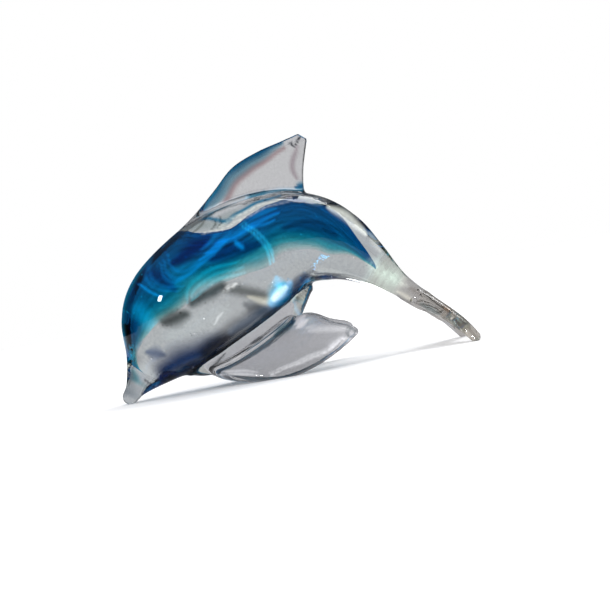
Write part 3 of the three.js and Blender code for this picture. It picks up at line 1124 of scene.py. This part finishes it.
SKIN_MARKS_AND_PAINTED_LIGHT = {
    # Painted refraction on the dorsal fin: the teal leading edge, the pale band and the pinkish lines
    # stand for the blue body and the room seen through the fin's rim and root. The gleams are painted
    # light, pale over the dark line at the root and blue beyond it. A dark mark sits at the tip.
    "sheared_dorsal_fin": (
        Touch(((-36.0, 86.0), (-27.5, 93.5), (-16.0, 104.5), (-1.4, 110.8), (11.6, 113.8)), 3.4,
              stain=(0.02, 0.38, 0.58), taper=0.45),
        Touch(((-33.0, 84.5), (-24.5, 92.0), (-14.0, 102.4), (-0.5, 108.6), (12.0, 112.6)), 4.4,
              stain=(0.50, 0.68, 0.76), taper=0.6),
        Touch(((-24.0, 83.0), (-22.5, 88.0), (-12.5, 99.6), (0.4, 105.8), (13.0, 110.2)), 2.8,
              stain=(0.80, 0.70, 0.71), taper=0.4),
        Touch(((-34.4, 86.5), (-26.7, 87.5), (-19.9, 88.7), (-11.0, 90.1)), 2.2,
              gleam=(0.34, 0.35, 0.37), side=NEAR, taper=0.2),
        Touch(((-11.0, 90.1), (-2.3, 90.9), (6.6, 90.2), (16.3, 88.3)), 1.6,
              gleam=(0.01, 0.12, 0.20), side=NEAR, taper=0.2),
        Touch(((-34.0, 87.0), (-26.0, 84.8), (-14.0, 88.8), (-2.0, 91.0)), 2.4,
              stain=(0.04, 0.38, 0.58), taper=0.2),
        Touch(((14.0, 90.0), (19.0, 90.5)), 3.4, stain=(0.03, 0.38, 0.6)),
        Touch(((15.5, 94.0), (15.0, 101.0), (19.5, 110.0)), 2.4, stain=(0.8, 0.75, 0.77)),
        Touch(((16.4, 112.4), (18.2, 110.6), (21.5, 114.2)), 0.8, stain=(0.1, 0.12, 0.16), taper=0),
    ),
    # On the casing, painted light: pale glows and crackled glints along the crest and the dorsal root
    # stand for highlights and caustics, with blue glows at the brow and the head's front and a faint
    # blue-grey glow low on the near side. Painted refraction: blue stains along the brow and the dorsal
    # root stand for the blue layer seen through the rim, and a grey wash over the clear pocket stands
    # for the room seen through it. Thin grey lines in the pocket and a dark loop are also drawn.
    "cased_body": (
        Touch(((29.0, 78.0), (36.5, 71.5), (43.5, 60.5)), 4.2, gleam=(0.62, 0.65, 0.60)),
        Touch(((45.5, 60.5), (49.5, 51.0)), 3.0, gleam=(0.22, 0.23, 0.20)),
        Touch(((16.0, 84.5), (26.0, 80.0)), 3.0, gleam=(0.10, 0.13, 0.11)),
        Touch(((-26.0, 77.0), (-16.0, 81.5), (-4.0, 84.5), (8.0, 84.8)), 1.6,
              gleam=(0.34, 0.36, 0.30), side=NEAR, crackle=True),
        Touch(((-34.4, 86.5), (-26.7, 87.5), (-19.9, 88.7), (-11.0, 90.1)), 2.4,
              gleam=(0.36, 0.37, 0.39), side=NEAR, taper=0.2),
        Touch(((-27.0, 83.5), (-16.0, 87.5), (-8.0, 89.0)), 3.0,
              gleam=(0.16, 0.155, 0.16), side=NEAR, taper=0.4),
        Touch(((-11.0, 90.1), (-2.3, 90.9), (6.6, 90.2), (16.3, 88.3)), 1.8,
              gleam=(0.01, 0.12, 0.20), side=NEAR, taper=0.2),
        Touch(((-37.0, 84.5), (-29.5, 82.4), (-21.5, 79.6), (-16.0, 82.6), (-6.0, 86.0), (6.0, 87.0)),
              1.9, stain=(0.02, 0.34, 0.54), gleam=(0.0, 0.02, 0.05), side=NEAR, taper=0.3),
        Touch(((-36.0, 86.0), (-30.0, 86.0)), 4.5, stain=(0.06, 0.36, 0.52), side=NEAR, taper=0),
        Touch(((-40.0, 77.0), (-34.0, 79.5), (-31.0, 84.0)), 1.2, stain=(0.5, 0.5, 0.46), side=NEAR),
        Touch(((-30.0, 76.0), (-27.0, 79.5), (-29.0, 83.0)), 0.9, stain=(0.4, 0.42, 0.4), side=NEAR),
        Touch(((-26.5, 77.0), (-24.0, 80.0), (-25.0, 83.5)), 0.8, stain=(0.4, 0.42, 0.4), side=NEAR),
        Touch(((12.0, 42.0), (15.6, 44.6), (17.6, 42.4), (15.2, 40.4)), 1.4,
              stain=(0.35, 0.38, 0.34), taper=0),
        Touch(((8.0, 39.0), (12.0, 42.5)), 2.4, gleam=(0.0, 0.16, 0.36), taper=0),
        Touch(((-84.5, 30.0), (-84.0, 42.0), (-76.0, 59.0), (-60.0, 73.5)), 5.0,
              gleam=(0.0, 0.10, 0.18), side=NEAR),
        Touch(((-79.6, 56.3), (-75.3, 63.2), (-65.9, 71.8), (-54.2, 78.4), (-43.0, 84.0)), 3.8,
              gleam=(0.0, 0.10, 0.22)),
        Touch(((-84.5, 24.0), (-85.0, 40.0), (-78.5, 57.0), (-66.0, 70.0), (-50.0, 79.5)), 5.0,
              stain=(0.06, 0.46, 0.68), gleam=(0.0, 0.03, 0.07), taper=0.4),
        Touch(((-30.0, 26.0), (-18.0, 31.5), (-2.0, 39.0)), 4.5, gleam=(0.05, 0.07, 0.10), side=NEAR,
              taper=0.3),
        Touch(((-38.0, 80.0), (-26.0, 79.0), (-16.0, 83.0)), 4.5, stain=(0.78, 0.84, 0.82), side=NEAR,
              taper=0.3),
        Touch(((-34.0, 75.2), (-24.0, 76.2), (-12.0, 80.2), (0.0, 82.8), (12.0, 83.2)), 1.3,
              gleam=(0.36, 0.36, 0.30), side=NEAR, crackle=True, taper=0.3),
        *TAIL_ROOT_PAINTED_LIGHT,
    ),
    # Painted refraction on the beak: a grey wash and a teal patch stand for the room and the blue seen
    # through it. A thin dark line crosses it near the joint.
    "drawn_beak": (
        Touch(((-82.5, 14.0), (-85.5, 6.5)), 4.5, stain=(0.72, 0.75, 0.77), taper=0),
        Touch(((-81.5, 16.5), (-80.0, 13.0)), 3.0, stain=(0.35, 0.7, 0.75), taper=0),
        Touch(((-76.2, 11.2), (-74.4, 8.4), (-73.1, 6.0)), 0.9, stain=(0.2, 0.22, 0.24), taper=0),
    ),
    "drawn_tail_stalk": TAIL_ROOT_PAINTED_LIGHT,
    # On the left fluke: a teal stain, a brown spot and a thin dark line, and over the whole blade a
    # grey-brown wash of painted shade with a faint glow of painted light.
    "left_tail_fluke": (
        Touch(((64.0, 22.4), (72.0, 15.4)), 2.6, stain=(0.55, 0.68, 0.72)),
        Touch(((74.0, 19.0), (77.6, 15.5)), 2.0, stain=(0.5, 0.28, 0.14), taper=0.3),
        Touch(((80.8, 11.4), (81.6, 9.6), (83.6, 8.6)), 0.8, stain=(0.3, 0.36, 0.38), taper=0),
        Touch(((60.0, 29.0), (72.0, 18.0), (86.0, 4.0)), 12.0, stain=(0.86, 0.855, 0.84),
              gleam=(0.075, 0.070, 0.062), taper=0),
    ),
    # Painted light on the near flipper: thin glows along its edges and a broad faint glow over the blade
    # stand for its highlights. The teal patch at the root is painted refraction of the blue seen through
    # it. Thin dark lines and a loop at the tip are also drawn.
    "left_flipper": (
        Touch(((-15.0, 3.0), (0.0, 5.4), (14.0, 9.6), (24.5, 14.2)), 1.1, gleam=(0.30, 0.30, 0.31)),
        Touch(((-40.0, 8.0), (-10.0, 14.0), (28.0, 15.0)), 16.0, gleam=(0.045, 0.045, 0.048), taper=0),
        Touch(((8.0, 19.5), (19.0, 19.0), (29.0, 16.5)), 2.6, gleam=(0.16, 0.16, 0.165)),
        Touch(((17.0, 11.5), (29.0, 15.0)), 3.6, gleam=(0.10, 0.10, 0.105), taper=0.3),
        Touch(((-41.0, 7.0), (-30.0, 4.8), (-20.0, 3.6)), 1.0, gleam=(0.30, 0.30, 0.31)),
        Touch(((-9.0, 21.0), (0.5, 25.1)), 4.0, stain=(0.16, 0.38, 0.46)),
        Touch(((2.0, 22.0), (7.5, 24.5)), 2.6, gleam=(0.30, 0.28, 0.29)),
        Touch(((-21.8, 17.6), (-15.4, 21.0)), 1.6, stain=(0.12, 0.14, 0.16)),
        Touch(((-43.0, 8.0), (-41.0, 12.0), (-35.0, 16.0)), 1.4, stain=(0.2, 0.22, 0.22)),
        Touch(((25.6, 14.6), (27.2, 17.4), (29.4, 15.6), (27.6, 13.4), (25.8, 14.4)), 0.8,
              stain=(0.2, 0.26, 0.28), taper=0),
    ),
    # Painted shade and light on the belly gather: a dark olive band and faint dark and pale glows stand
    # for the room seen through it by refraction, and a blue glow stands for the blue back.
    "belly_bit": (
        Touch(((-44.0, 12.0), (-30.0, 17.6), (-14.0, 24.6), (4.0, 36.0)), 3.0,
              stain=(0.55, 0.56, 0.52), taper=0.2),
        Touch(((-36.0, 12.5), (-20.0, 18.5), (-4.0, 27.0), (4.0, 32.0)), 1.8,
              gleam=(0.05, 0.07, 0.05), taper=0.2),
        Touch(((3.0, 40.0), (2.6, 33.0), (4.0, 27.0)), 1.8, gleam=(0.0, 0.10, 0.20), taper=0.2),
        Touch(((-10.0, 27.0), (-2.0, 32.5), (5.0, 38.0)), 2.0, gleam=(0.30, 0.30, 0.24)),
    ),
}
# Where the seeds lie thickest; here the first number of each gleam is how thick they lie, not light.
SEED_TRAILS = (
    Touch(((-62.0, 37.0), (-50.0, 41.5), (-36.0, 47.5), (-22.0, 49.5), (-8.0, 50.0)), 5.0,
          gleam=(9.0, 0, 0), side=NEAR, taper=0.2),
    Touch(((-50.0, 26.0), (-40.0, 30.0)), 6.0, gleam=(2.0, 0, 0), side=NEAR),
    Touch(((-74.0, 20.0), (-70.0, 12.0)), 6.0, gleam=(3.0, 0, 0), side=NEAR, taper=0),
)
PLAIN_TINT = (0.97, 0.97, 0.97)
# Each gather's own faint tint, darkened into painted shade: the clear glass is greyed to stand for a
# grey room seen through it, and the near flipper and fluke are greyer than the far ones.
GATHER_TINTS_AND_SHADE = {
    "cased_body": (0.90, 0.92, 0.92),
    "drawn_beak": (0.86, 0.88, 0.89),
    "left_flipper": (0.87, 0.87, 0.875),
    "right_flipper": (0.90, 0.90, 0.905),
    "belly_bit": (0.76, 0.77, 0.74),
    "drawn_tail_stalk": (0.85, 0.84, 0.82),
    "left_tail_fluke": (0.82, 0.80, 0.78),
    "right_tail_fluke": (0.86, 0.84, 0.82),
}


@dataclass
class Inside:
    """The clear core and the blue laid on its back, both under the casing.

    The blue's outer face takes the share called top of the points round it. Its ragged edge and
    its cords are waves, each with a size and with turns along the core.
    """

    sweep: Sweep
    around: int = 300
    along: int = 300
    top: float = 0.72
    cap: float = 0.08
    depth: float = 2.4
    gap: float = 0.4
    thinning: float = 0.6
    least: float = 0.06
    tuck: float = 0.05
    core_width: float = 0.9
    tail_narrowing: float = 0.12
    tail_start: float = 0.75
    ragged: tuple[Flat, Flat] = ((0.02, 23.0), (0.012, 47.0))
    cord: float = 0.16

    def __post_init__(self) -> None:
        """Makes the curve of shares along the body."""
        self.shares = Spline(CORE_ROWS)

    def section(self, way: Array, turn: Array, share: Array, inset: Array) -> Array:
        """Returns points round sections of the body.

        Args:
            way: Places along the core, from 0 to 1.
            turn: Turns round it, 0 at the back.
            share: Shares of the body's reaches, before they are drawn in.
            inset: How far they are drawn in, in millimetres.

        Returns:
            Points in row millimetres.
        """
        head = np.clip(way / self.cap, 0, 1)
        foot = np.clip((1 - way) / self.cap, 0, 1)
        full = np.sqrt(1 - (1 - head) ** 2) * np.sqrt(1 - (1 - foot) ** 2)
        place = self.shares.at(way)[..., 0]
        reach = self.sweep.curve.at(place)[..., 2:5]
        scale = np.maximum(share - inset[..., None] / reach, self.least) * full[..., None]
        return self.sweep.across(place, turn, scale)

    def blue_turn(self, way: Array, turn: Array) -> Array:
        """Returns how far round the blue comes, which is not the same on both sides."""
        share = self.shares.at(way)
        return np.where(turn > 0, share[..., 4], share[..., 5])

    def loft(self, name: str, place: Callable[[Array, Array], Array]) -> tuple:
        """Makes a closed surface from points round and along, with a pole at each end.

        Args:
            name: The object's name.
            place: Gives points from turns round and places along.

        Returns:
            The new object, its points in row millimetres, and each point's turn and place.
        """
        turn = np.arange(self.around) / self.around
        way = (1 - np.cos(np.linspace(0, np.pi, self.along + 1)[1:-1])) / 2
        turns, ways = (part.ravel() for part in np.meshgrid(turn, way))
        turns, ways = np.append(turns, [0, 0]), np.append(ways, [0, 1])
        points = place(turns, ways)
        ring = np.arange(self.around)
        after = (ring + 1) % self.around
        count = self.along - 1
        sides = [np.stack([k * self.around + ring, k * self.around + after,
                           (k + 1) * self.around + after, (k + 1) * self.around + ring], 1)
                 for k in range(count - 1)]
        faces = [list(face) for face in np.vstack(sides)]
        first, last = len(points) - 2, len(points) - 1
        base = (count - 1) * self.around
        faces += [[first, int(b), int(a)] for a, b in zip(ring, after)]
        faces += [[last, int(base + a), int(base + b)] for a, b in zip(ring, after)]
        piece = new_mesh(name, points, faces)
        turn_outwards(piece.data)
        return piece, points, turns, ways

    def across_blue(self, turn: Array) -> Array:
        """Returns how far across the blue a point round it is: out on top, and back under it."""
        return np.where(turn <= self.top, 2 * turn / self.top - 1,
                        1 - 2 * (turn - self.top) / (1 - self.top))

    def blue_place(self, turn: Array, way: Array) -> Array:
        """Returns points of the blue layer from turns round it and places along it."""
        across = self.across_blue(turn)
        thick = self.depth * np.cos(across * np.pi / 2) ** self.thinning
        inset = np.where(turn <= self.top, 0.0, thick)
        share = self.shares.at(way)[..., 1:4]
        return self.section(way, across * self.blue_turn(way, across), share, inset)

    def blue_stain(self, turns: Array, ways: Array) -> Array:
        """Returns the blue's stain, paler to its ragged edges and streaked by its cords.

        Args:
            turns: Turns round the layer.
            ways: Places along it.

        Returns:
            One colour a point.
        """
        across = self.across_blue(turns)
        (broad, broad_turns), (fine, fine_turns) = self.ragged
        ragged = (broad * np.sin(broad_turns * ways + 3 * across)
                  + fine * np.sin(fine_turns * ways + 1.0))
        level = np.clip(1 - np.abs(across) + ragged * (np.abs(across) > 0.5), 0, 1)
        stops = np.array(BLUE_STOPS)
        base = np.stack([np.interp(level, stops[:, 0], stops[:, k]) for k in (1, 2, 3)], 1)
        cords = np.sin(34 * across + 5 * np.sin(9 * ways)) * np.sin(11 * ways + 6 * across)
        cords += 0.6 * np.sin(71 * across - 9 * np.sin(6 * ways + 2))
        base *= (1 + self.cord * cords * np.clip(level * 4, 0, 1))[:, None]
        base[turns > self.top] = 1.0
        return base

    def overlay(self, finish: bpy.types.Material) -> bpy.types.Object:
        """Returns the blue layer, stained by its depth, with its cords and with swirls of painted light.
        """
        piece, points, turns, ways = self.loft("blue_layer", self.blue_place)
        paint(piece.data, points, self.blue_stain(turns, ways), BLUE_TOUCHES)
        piece.data.materials.append(finish)
        return piece

    def core_place(self, turn: Array, way: Array) -> Array:
        """Returns points of the core from turns round it and places along it."""
        signed = np.where(turn > 0.5, turn - 1, turn)
        edge = self.blue_turn(way, signed)
        under = np.clip((edge + self.tuck - np.abs(signed)) / self.tuck, 0, 1)
        share = self.shares.at(way)[..., 1:4].copy()
        to_tail = np.clip((way - self.tail_start) / (1 - self.tail_start), 0, 1)
        wide = self.core_width - self.tail_narrowing * to_tail
        share[..., 1] = wide
        share[..., 2] = share[..., 2] * under + wide * (1 - under)
        return self.section(way, turn, share, (self.depth + self.gap) * under)

    def core(self, finish: bpy.types.Material) -> bpy.types.Object:
        """Returns the clear core, a little inside the casing and under the blue."""
        piece, points, _, _ = self.loft("clear_heart", self.core_place)
        # The near side carries painted shade and light for what shows through the glass.
        paint(piece.data, points, np.ones((len(points), 3)), HEART_PAINTED_SHADE_AND_LIGHT)
        piece.data.materials.append(finish)
        return piece


@dataclass
class Seeds:
    """Tiny bubbles caught in the core, thickest along the low edge of the blue."""

    spread: float = 13000.0
    deepest: float = 0.007
    smallest: float = 0.00014
    largest: float = 0.00038
    pick: int = 7
    facets: int = 2
    everywhere: float = 0.5
    stain: Colour = (0.45, 0.48, 0.5)
    # Painted light: some seeds glow a little as emission, as glints.
    glint: float = 0.5
    glint_cell: float = 1.5
    glint_level: float = 0.55

    def tree(self, finish: bpy.types.Material) -> bpy.types.NodeTree:
        """Returns the geometry nodes that strew seeds under a surface.

        Args:
            finish: The seeds' material.

        Returns:
            The tree, whose inputs carry the sizes.
        """
        tree = bpy.data.node_groups.new("strewn_seeds", "GeometryNodeTree")
        face = tree.interface
        face.new_socket(name="Geometry", in_out="INPUT", socket_type="NodeSocketGeometry")
        for label, kind in (("Spread", "Float"), ("Deepest", "Float"), ("Smallest", "Float"),
                            ("Largest", "Float"), ("Pick", "Int")):
            face.new_socket(name=label, in_out="INPUT", socket_type=f"NodeSocket{kind}")
        face.new_socket(name="Geometry", in_out="OUTPUT", socket_type="NodeSocketGeometry")
        taken, given = tree.nodes.new("NodeGroupInput"), tree.nodes.new("NodeGroupOutput")
        link = tree.links.new
        crowd = add_node(tree, "GeometryNodeInputNamedAttribute", data_type="FLOAT", Name="crowd")
        dense = add_node(tree, "ShaderNodeMath", operation="MULTIPLY")
        link(crowd.outputs["Attribute"], dense.inputs[0])
        link(taken.outputs["Spread"], dense.inputs[1])
        strew = add_node(tree, "GeometryNodeDistributePointsOnFaces", distribute_method="RANDOM")
        link(taken.outputs["Geometry"], strew.inputs["Mesh"])
        link(dense.outputs[0], strew.inputs["Density"])
        link(taken.outputs["Pick"], strew.inputs["Seed"])
        depth = add_node(tree, "FunctionNodeRandomValue", data_type="FLOAT")
        link(taken.outputs["Deepest"], depth.inputs[3])
        link(taken.outputs["Pick"], depth.inputs["Seed"])
        inward = add_node(tree, "ShaderNodeMath", operation="MULTIPLY")
        inward.inputs[1].default_value = -1.0
        link(depth.outputs[1], inward.inputs[0])
        sink = add_node(tree, "ShaderNodeVectorMath", operation="SCALE")
        link(strew.outputs["Normal"], sink.inputs[0])
        link(inward.outputs[0], sink.inputs["Scale"])
        move = tree.nodes.new("GeometryNodeSetPosition")
        link(strew.outputs["Points"], move.inputs["Geometry"])
        link(sink.outputs[0], move.inputs["Offset"])
        bubble = add_node(tree, "GeometryNodeMeshIcoSphere", Radius=1.0,
                          Subdivisions=self.facets)
        size = add_node(tree, "FunctionNodeRandomValue", data_type="FLOAT")
        link(taken.outputs["Smallest"], size.inputs[2])
        link(taken.outputs["Largest"], size.inputs[3])
        place = tree.nodes.new("GeometryNodeInstanceOnPoints")
        link(move.outputs["Geometry"], place.inputs["Points"])
        link(bubble.outputs["Mesh"], place.inputs["Instance"])
        link(size.outputs[1], place.inputs["Scale"])
        real = tree.nodes.new("GeometryNodeRealizeInstances")
        link(place.outputs["Instances"], real.inputs["Geometry"])
        dress = tree.nodes.new("GeometryNodeSetMaterial")
        dress.inputs["Material"].default_value = finish
        link(real.outputs["Geometry"], dress.inputs["Geometry"])
        link(dress.outputs["Geometry"], given.inputs["Geometry"])
        return tree

    def dress(self, mesh: bpy.types.Mesh) -> None:
        """Stains the seeds and paints a glint of light on some of them, given off as emission."""
        points = row_points(mesh) + np.array([ROW_SHIFT, 0, 0])
        cells = np.round(points / self.glint_cell)
        bright = np.sin(cells @ np.array([12.9, 78.2, 37.7])) > self.glint_level
        paint(mesh, points, np.tile(self.stain, (len(points), 1)), ())
        glint = np.where(bright, self.glint, 0.0)[:, None] * np.ones((1, 3))
        gleam = np.column_stack([glint, np.ones(len(points))])
        mesh.attributes["gleam"].data.foreach_set("color", gleam.ravel())

    def build(self, heart: bpy.types.Object, finish: bpy.types.Material) -> bpy.types.Object:
        """Strews the seeds under the core's surface and makes them a plain mesh.

        Args:
            heart: The core.
            finish: The seeds' material.

        Returns:
            The seeds as one piece.
        """
        piece = heart.copy()
        piece.data = heart.data.copy()
        piece.name = "caught_seeds"
        bpy.context.scene.collection.objects.link(piece)
        points = row_points(piece.data)
        crowd = np.full(len(points), self.everywhere)
        for touch in SEED_TRAILS:
            crowd += touch.mask(points) * touch.gleam[0]
        piece.data.attributes.new("crowd", "FLOAT", "POINT").data.foreach_set("value", crowd)
        tree = self.tree(finish)
        maker = piece.modifiers.new("seeds", "NODES")
        maker.node_group = tree
        sizes = {"Spread": self.spread, "Deepest": self.deepest, "Smallest": self.smallest,
                 "Largest": self.largest, "Pick": self.pick}
        for item in tree.interface.items_tree:
            if item.in_out == "INPUT" and item.name in sizes:
                maker[item.identifier] = sizes[item.name]
        mesh = bake(piece)
        self.dress(mesh)
        mesh.polygons.foreach_set("use_smooth", [True] * len(mesh.polygons))
        LOG.info("seeds: %d faces", len(mesh.polygons))
        return piece


# ------------------------------------------------------------------ stage, lights and camera

@dataclass(frozen=True)
class Window:
    """A soft light: where it hangs and its width and height in metres, and its power in watts."""

    name: str
    place: tuple[float, float, float]
    size: Flat
    power: float

    def hang(self) -> None:
        """Hangs the light, turned to the dolphin."""
        light = bpy.data.lights.new(self.name, "AREA")
        light.shape = "RECTANGLE"
        light.size, light.size_y = self.size
        light.energy = self.power
        lamp = bpy.data.objects.new(self.name, light)
        lamp.location = self.place
        ahead = Vector((0.0, 0.0, 0.05)) - Vector(self.place)
        lamp.rotation_euler = ahead.to_track_quat("-Z", "Y").to_euler()
        bpy.context.scene.collection.objects.link(lamp)


WINDOWS = (
    Window("top_window", (0.35, 0.35, 0.9), (0.45, 0.35), 3.0),
    Window("front_window", (-0.80, -0.72, 0.36), (0.05, 0.12), 1.2),
)


@dataclass
class Studio:
    """A pale floor, a pale room, soft lights and the camera.

    The floor and the room look greyer through the glass and darker in its gloss than straight on.
    """

    distance: float = 0.75
    elevation: float = math.radians(1.0)
    roll: float = math.radians(10.9)
    target: tuple[float, float, float] = (0.0091, 0.0, 0.032)
    frame_width: float = 0.305
    sensor: float = 36.0
    floor_half: float = 4.0
    floor_tone: Colour = (0.95, 0.95, 0.955)
    floor_behind_glass: Colour = (0.34, 0.34, 0.35)
    floor_glow: Colour = (0.16, 0.16, 0.165)
    room_light: Colour = (1.16, 1.16, 1.17)
    backdrop: Colour = (1.0, 1.0, 1.0)
    gloss_below: Colour = (0.02, 0.022, 0.027)
    gloss_above: Colour = (0.10, 0.13, 0.17)
    wall_dark: Colour = (0.22, 0.22, 0.23)
    wall_pale: Colour = (0.95, 0.95, 0.93)
    wall_calm: Colour = (0.62, 0.62, 0.635)
    wall_near: Colour = (0.15, 0.16, 0.17)

    def camera(self) -> None:
        """Places the camera, tilted as a hand held it, and makes it the scene's."""
        ahead = Vector((0.0, math.cos(self.elevation), -math.sin(self.elevation)))
        right = Vector((1.0, 0.0, 0.0))
        up = right.cross(ahead)
        turned_right = right * math.cos(self.roll) - up * math.sin(self.roll)
        turned_up = right * math.sin(self.roll) + up * math.cos(self.roll)
        lens = bpy.data.cameras.new("camera")
        lens.sensor_width = self.sensor
        lens.lens = self.sensor * self.distance / self.frame_width
        lens.clip_start = 0.01
        camera = bpy.data.objects.new("camera", lens)
        place = Vector(self.target) - ahead * self.distance
        columns = Matrix((turned_right, turned_up, -ahead)).transposed()
        camera.matrix_world = Matrix.Translation(place) @ columns.to_4x4()
        bpy.context.scene.collection.objects.link(camera)
        bpy.context.scene.camera = camera

    def floor(self) -> None:
        """Makes the pale floor, which looks greyer through the glass than it does straight on."""
        half = self.floor_half
        mesh = bpy.data.meshes.new("pale_floor")
        mesh.from_pydata([(-half, -half, 0), (half, -half, 0), (half, half, 0), (-half, half, 0)], [],
                         [(0, 1, 2, 3)])
        sheet = bpy.data.objects.new("pale_floor", mesh)
        bpy.context.scene.collection.objects.link(sheet)
        material = bpy.data.materials.new("pale_paper")
        material.use_nodes = True
        tree = material.node_tree
        shader = tree.nodes["Principled BSDF"]
        shader.inputs["Roughness"].default_value = 0.9
        shader.inputs["Specular IOR Level"].default_value = 0.1
        ray = add_node(tree, "ShaderNodeLightPath")
        tone = add_node(tree, "ShaderNodeMix", data_type="RGBA")
        tone.inputs[6].default_value = (*self.floor_behind_glass, 1)
        tone.inputs[7].default_value = (*self.floor_tone, 1)
        tree.links.new(ray.outputs["Is Camera Ray"], tone.inputs[0])
        shader.inputs["Emission Color"].default_value = (*self.floor_glow, 1)
        tree.links.new(ray.outputs["Is Transmission Ray"], shader.inputs["Emission Strength"])
        tree.links.new(tone.outputs[2], shader.inputs["Base Color"])
        mesh.materials.append(material)

    def lights(self) -> None:
        """Hangs the soft lights and sets the light of the room."""
        for window in WINDOWS:
            window.hang()
        world = bpy.data.worlds.new("room")
        world.use_nodes = True
        tree = world.node_tree
        tree.nodes["Background"].inputs["Strength"].default_value = 1.0
        where = add_node(tree, "ShaderNodeTexCoord")
        ray = add_node(tree, "ShaderNodeLightPath")
        seen = self.blend_by(tree, ray.outputs["Is Glossy Ray"], self.room_light,
                             self.before(tree, where.outputs["Generated"]))
        seen = self.blend_by(tree, ray.outputs["Is Transmission Ray"], seen,
                             self.behind(tree, where.outputs["Generated"]))
        seen = self.blend_by(tree, ray.outputs["Is Camera Ray"], seen, self.backdrop)
        tree.links.new(seen, tree.nodes["Background"].inputs["Color"])
        bpy.context.scene.world = world
        bpy.context.scene.view_settings.view_transform = "Standard"

    @staticmethod
    def blend_by(tree: bpy.types.NodeTree, share: bpy.types.NodeSocket,
                 plain: "bpy.types.NodeSocket | Sequence[float]",
                 other: "bpy.types.NodeSocket | Sequence[float]") -> bpy.types.NodeSocket:
        """Returns a colour that goes from one to another.

        Args:
            tree: The tree that the node goes in.
            share: How much of the other colour there is.
            plain: The first colour, or a socket that gives it.
            other: The other colour, or a socket that gives it.

        Returns:
            The socket that gives the blend.
        """
        node = add_node(tree, "ShaderNodeMix", data_type="RGBA", clamp_factor=True)
        tree.links.new(share, node.inputs[0])
        for number, value in ((6, plain), (7, other)):
            if isinstance(value, bpy.types.NodeSocket):
                tree.links.new(value, node.inputs[number])
            else:
                node.inputs[number].default_value = (*value, 1)
        return node.outputs[2]

    @staticmethod
    def step(tree: bpy.types.NodeTree, value: bpy.types.NodeSocket, low: float,
             high: float) -> bpy.types.NodeSocket:
        """Returns a smooth step of a value from 0 at low to 1 at high."""
        node = add_node(tree, "ShaderNodeMapRange", interpolation_type="SMOOTHSTEP")
        node.inputs["From Min"].default_value = low
        node.inputs["From Max"].default_value = high
        tree.links.new(value, node.inputs["Value"])
        return node.outputs["Result"]

    def behind(self, tree: bpy.types.NodeTree, way: bpy.types.NodeSocket) -> bpy.types.NodeSocket:
        """Returns the room as it shows through the glass: grey behind, dark at the sides and above."""
        axes = add_node(tree, "ShaderNodeSeparateXYZ")
        tree.links.new(way, axes.inputs[0])
        clutter = add_node(tree, "ShaderNodeTexNoise", Scale=2.6, Detail=2.0, Distortion=0.8)
        tree.links.new(way, clutter.inputs["Vector"])
        wall = self.blend_by(tree, self.step(tree, clutter.outputs["Fac"], 0.38, 0.66),
                             self.wall_dark, self.wall_pale)
        calm = self.step(tree, axes.outputs["Y"], 0.55, 0.9)
        wall = self.blend_by(tree, calm, wall, self.wall_calm)
        near = self.step(tree, axes.outputs["Y"], -0.8, 0.0)
        return self.blend_by(tree, near, self.wall_near, wall)

    def before(self, tree: bpy.types.NodeTree, way: bpy.types.NodeSocket) -> bpy.types.NodeSocket:
        """Returns the room as it shows in the gloss: dark, and a little paler above."""
        axes = add_node(tree, "ShaderNodeSeparateXYZ")
        tree.links.new(way, axes.inputs[0])
        above = self.step(tree, axes.outputs["Z"], 0.2, 0.9)
        return self.blend_by(tree, above, self.gloss_below, self.gloss_above)

    def build(self) -> None:
        """Sets the whole stage."""
        self.camera()
        self.floor()
        self.lights()


STANDS_FOR = {
    "cased_body": "clear_casing",
    "drawn_beak": "beak",
    "drawn_tail_stalk": "tail_stalk",
    "belly_bit": "belly_gather",
    "sheared_dorsal_fin": "dorsal_fin",
    "left_flipper": "left_pectoral_fin",
    "right_flipper": "right_pectoral_fin",
    "left_tail_fluke": "left_fluke",
    "right_tail_fluke": "right_fluke",
    "blue_layer": "blue_overlay",
    "clear_heart": "clear_core",
    "caught_seeds": "clear_core",
}
SLOTS = {"blue_layer": "blue_glass", "clear_heart": "core_glass", "caught_seeds": "core_glass"}


FULL_PITCH = 1.0
SKIN_RIPPLE = 0.0006
NO_TINT = (1.0, 1.0, 1.0)
SAME_AS_AROUND = 1.0


def main() -> None:
    """Builds the stage and every piece of the dolphin, in order."""
    logging.basicConfig(level=logging.INFO, format="%(message)s")
    Studio().build()
    glass = ArtGlass("clear_glass", ripple=SKIN_RIPPLE).make()
    weld = Weld().make()
    pieces = Glassware(FULL_PITCH, glass, weld).build()
    inside = Inside(Sweep(BODY_ROWS))
    blue_glass = ArtGlass("blue_glass", NO_TINT, SAME_AS_AROUND).make()
    pieces["blue_layer"] = inside.overlay(blue_glass)
    core_glass = ArtGlass("core_glass", NO_TINT, SAME_AS_AROUND).make()
    pieces["clear_heart"] = inside.core(core_glass)
    seed_glass = ArtGlass("seed_glass", NO_TINT, SAME_AS_AROUND, grain=0.3).make()
    pieces["caught_seeds"] = Seeds().build(pieces["clear_heart"], seed_glass)
    for name, node in STANDS_FOR.items():
        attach(pieces[name], BODY_NAME)
        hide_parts(node)
        SLOTS.get(name, "clear_glass")
        LOG.info("%s stands for %s", name, node)


if __name__ == "__main__":
    main()
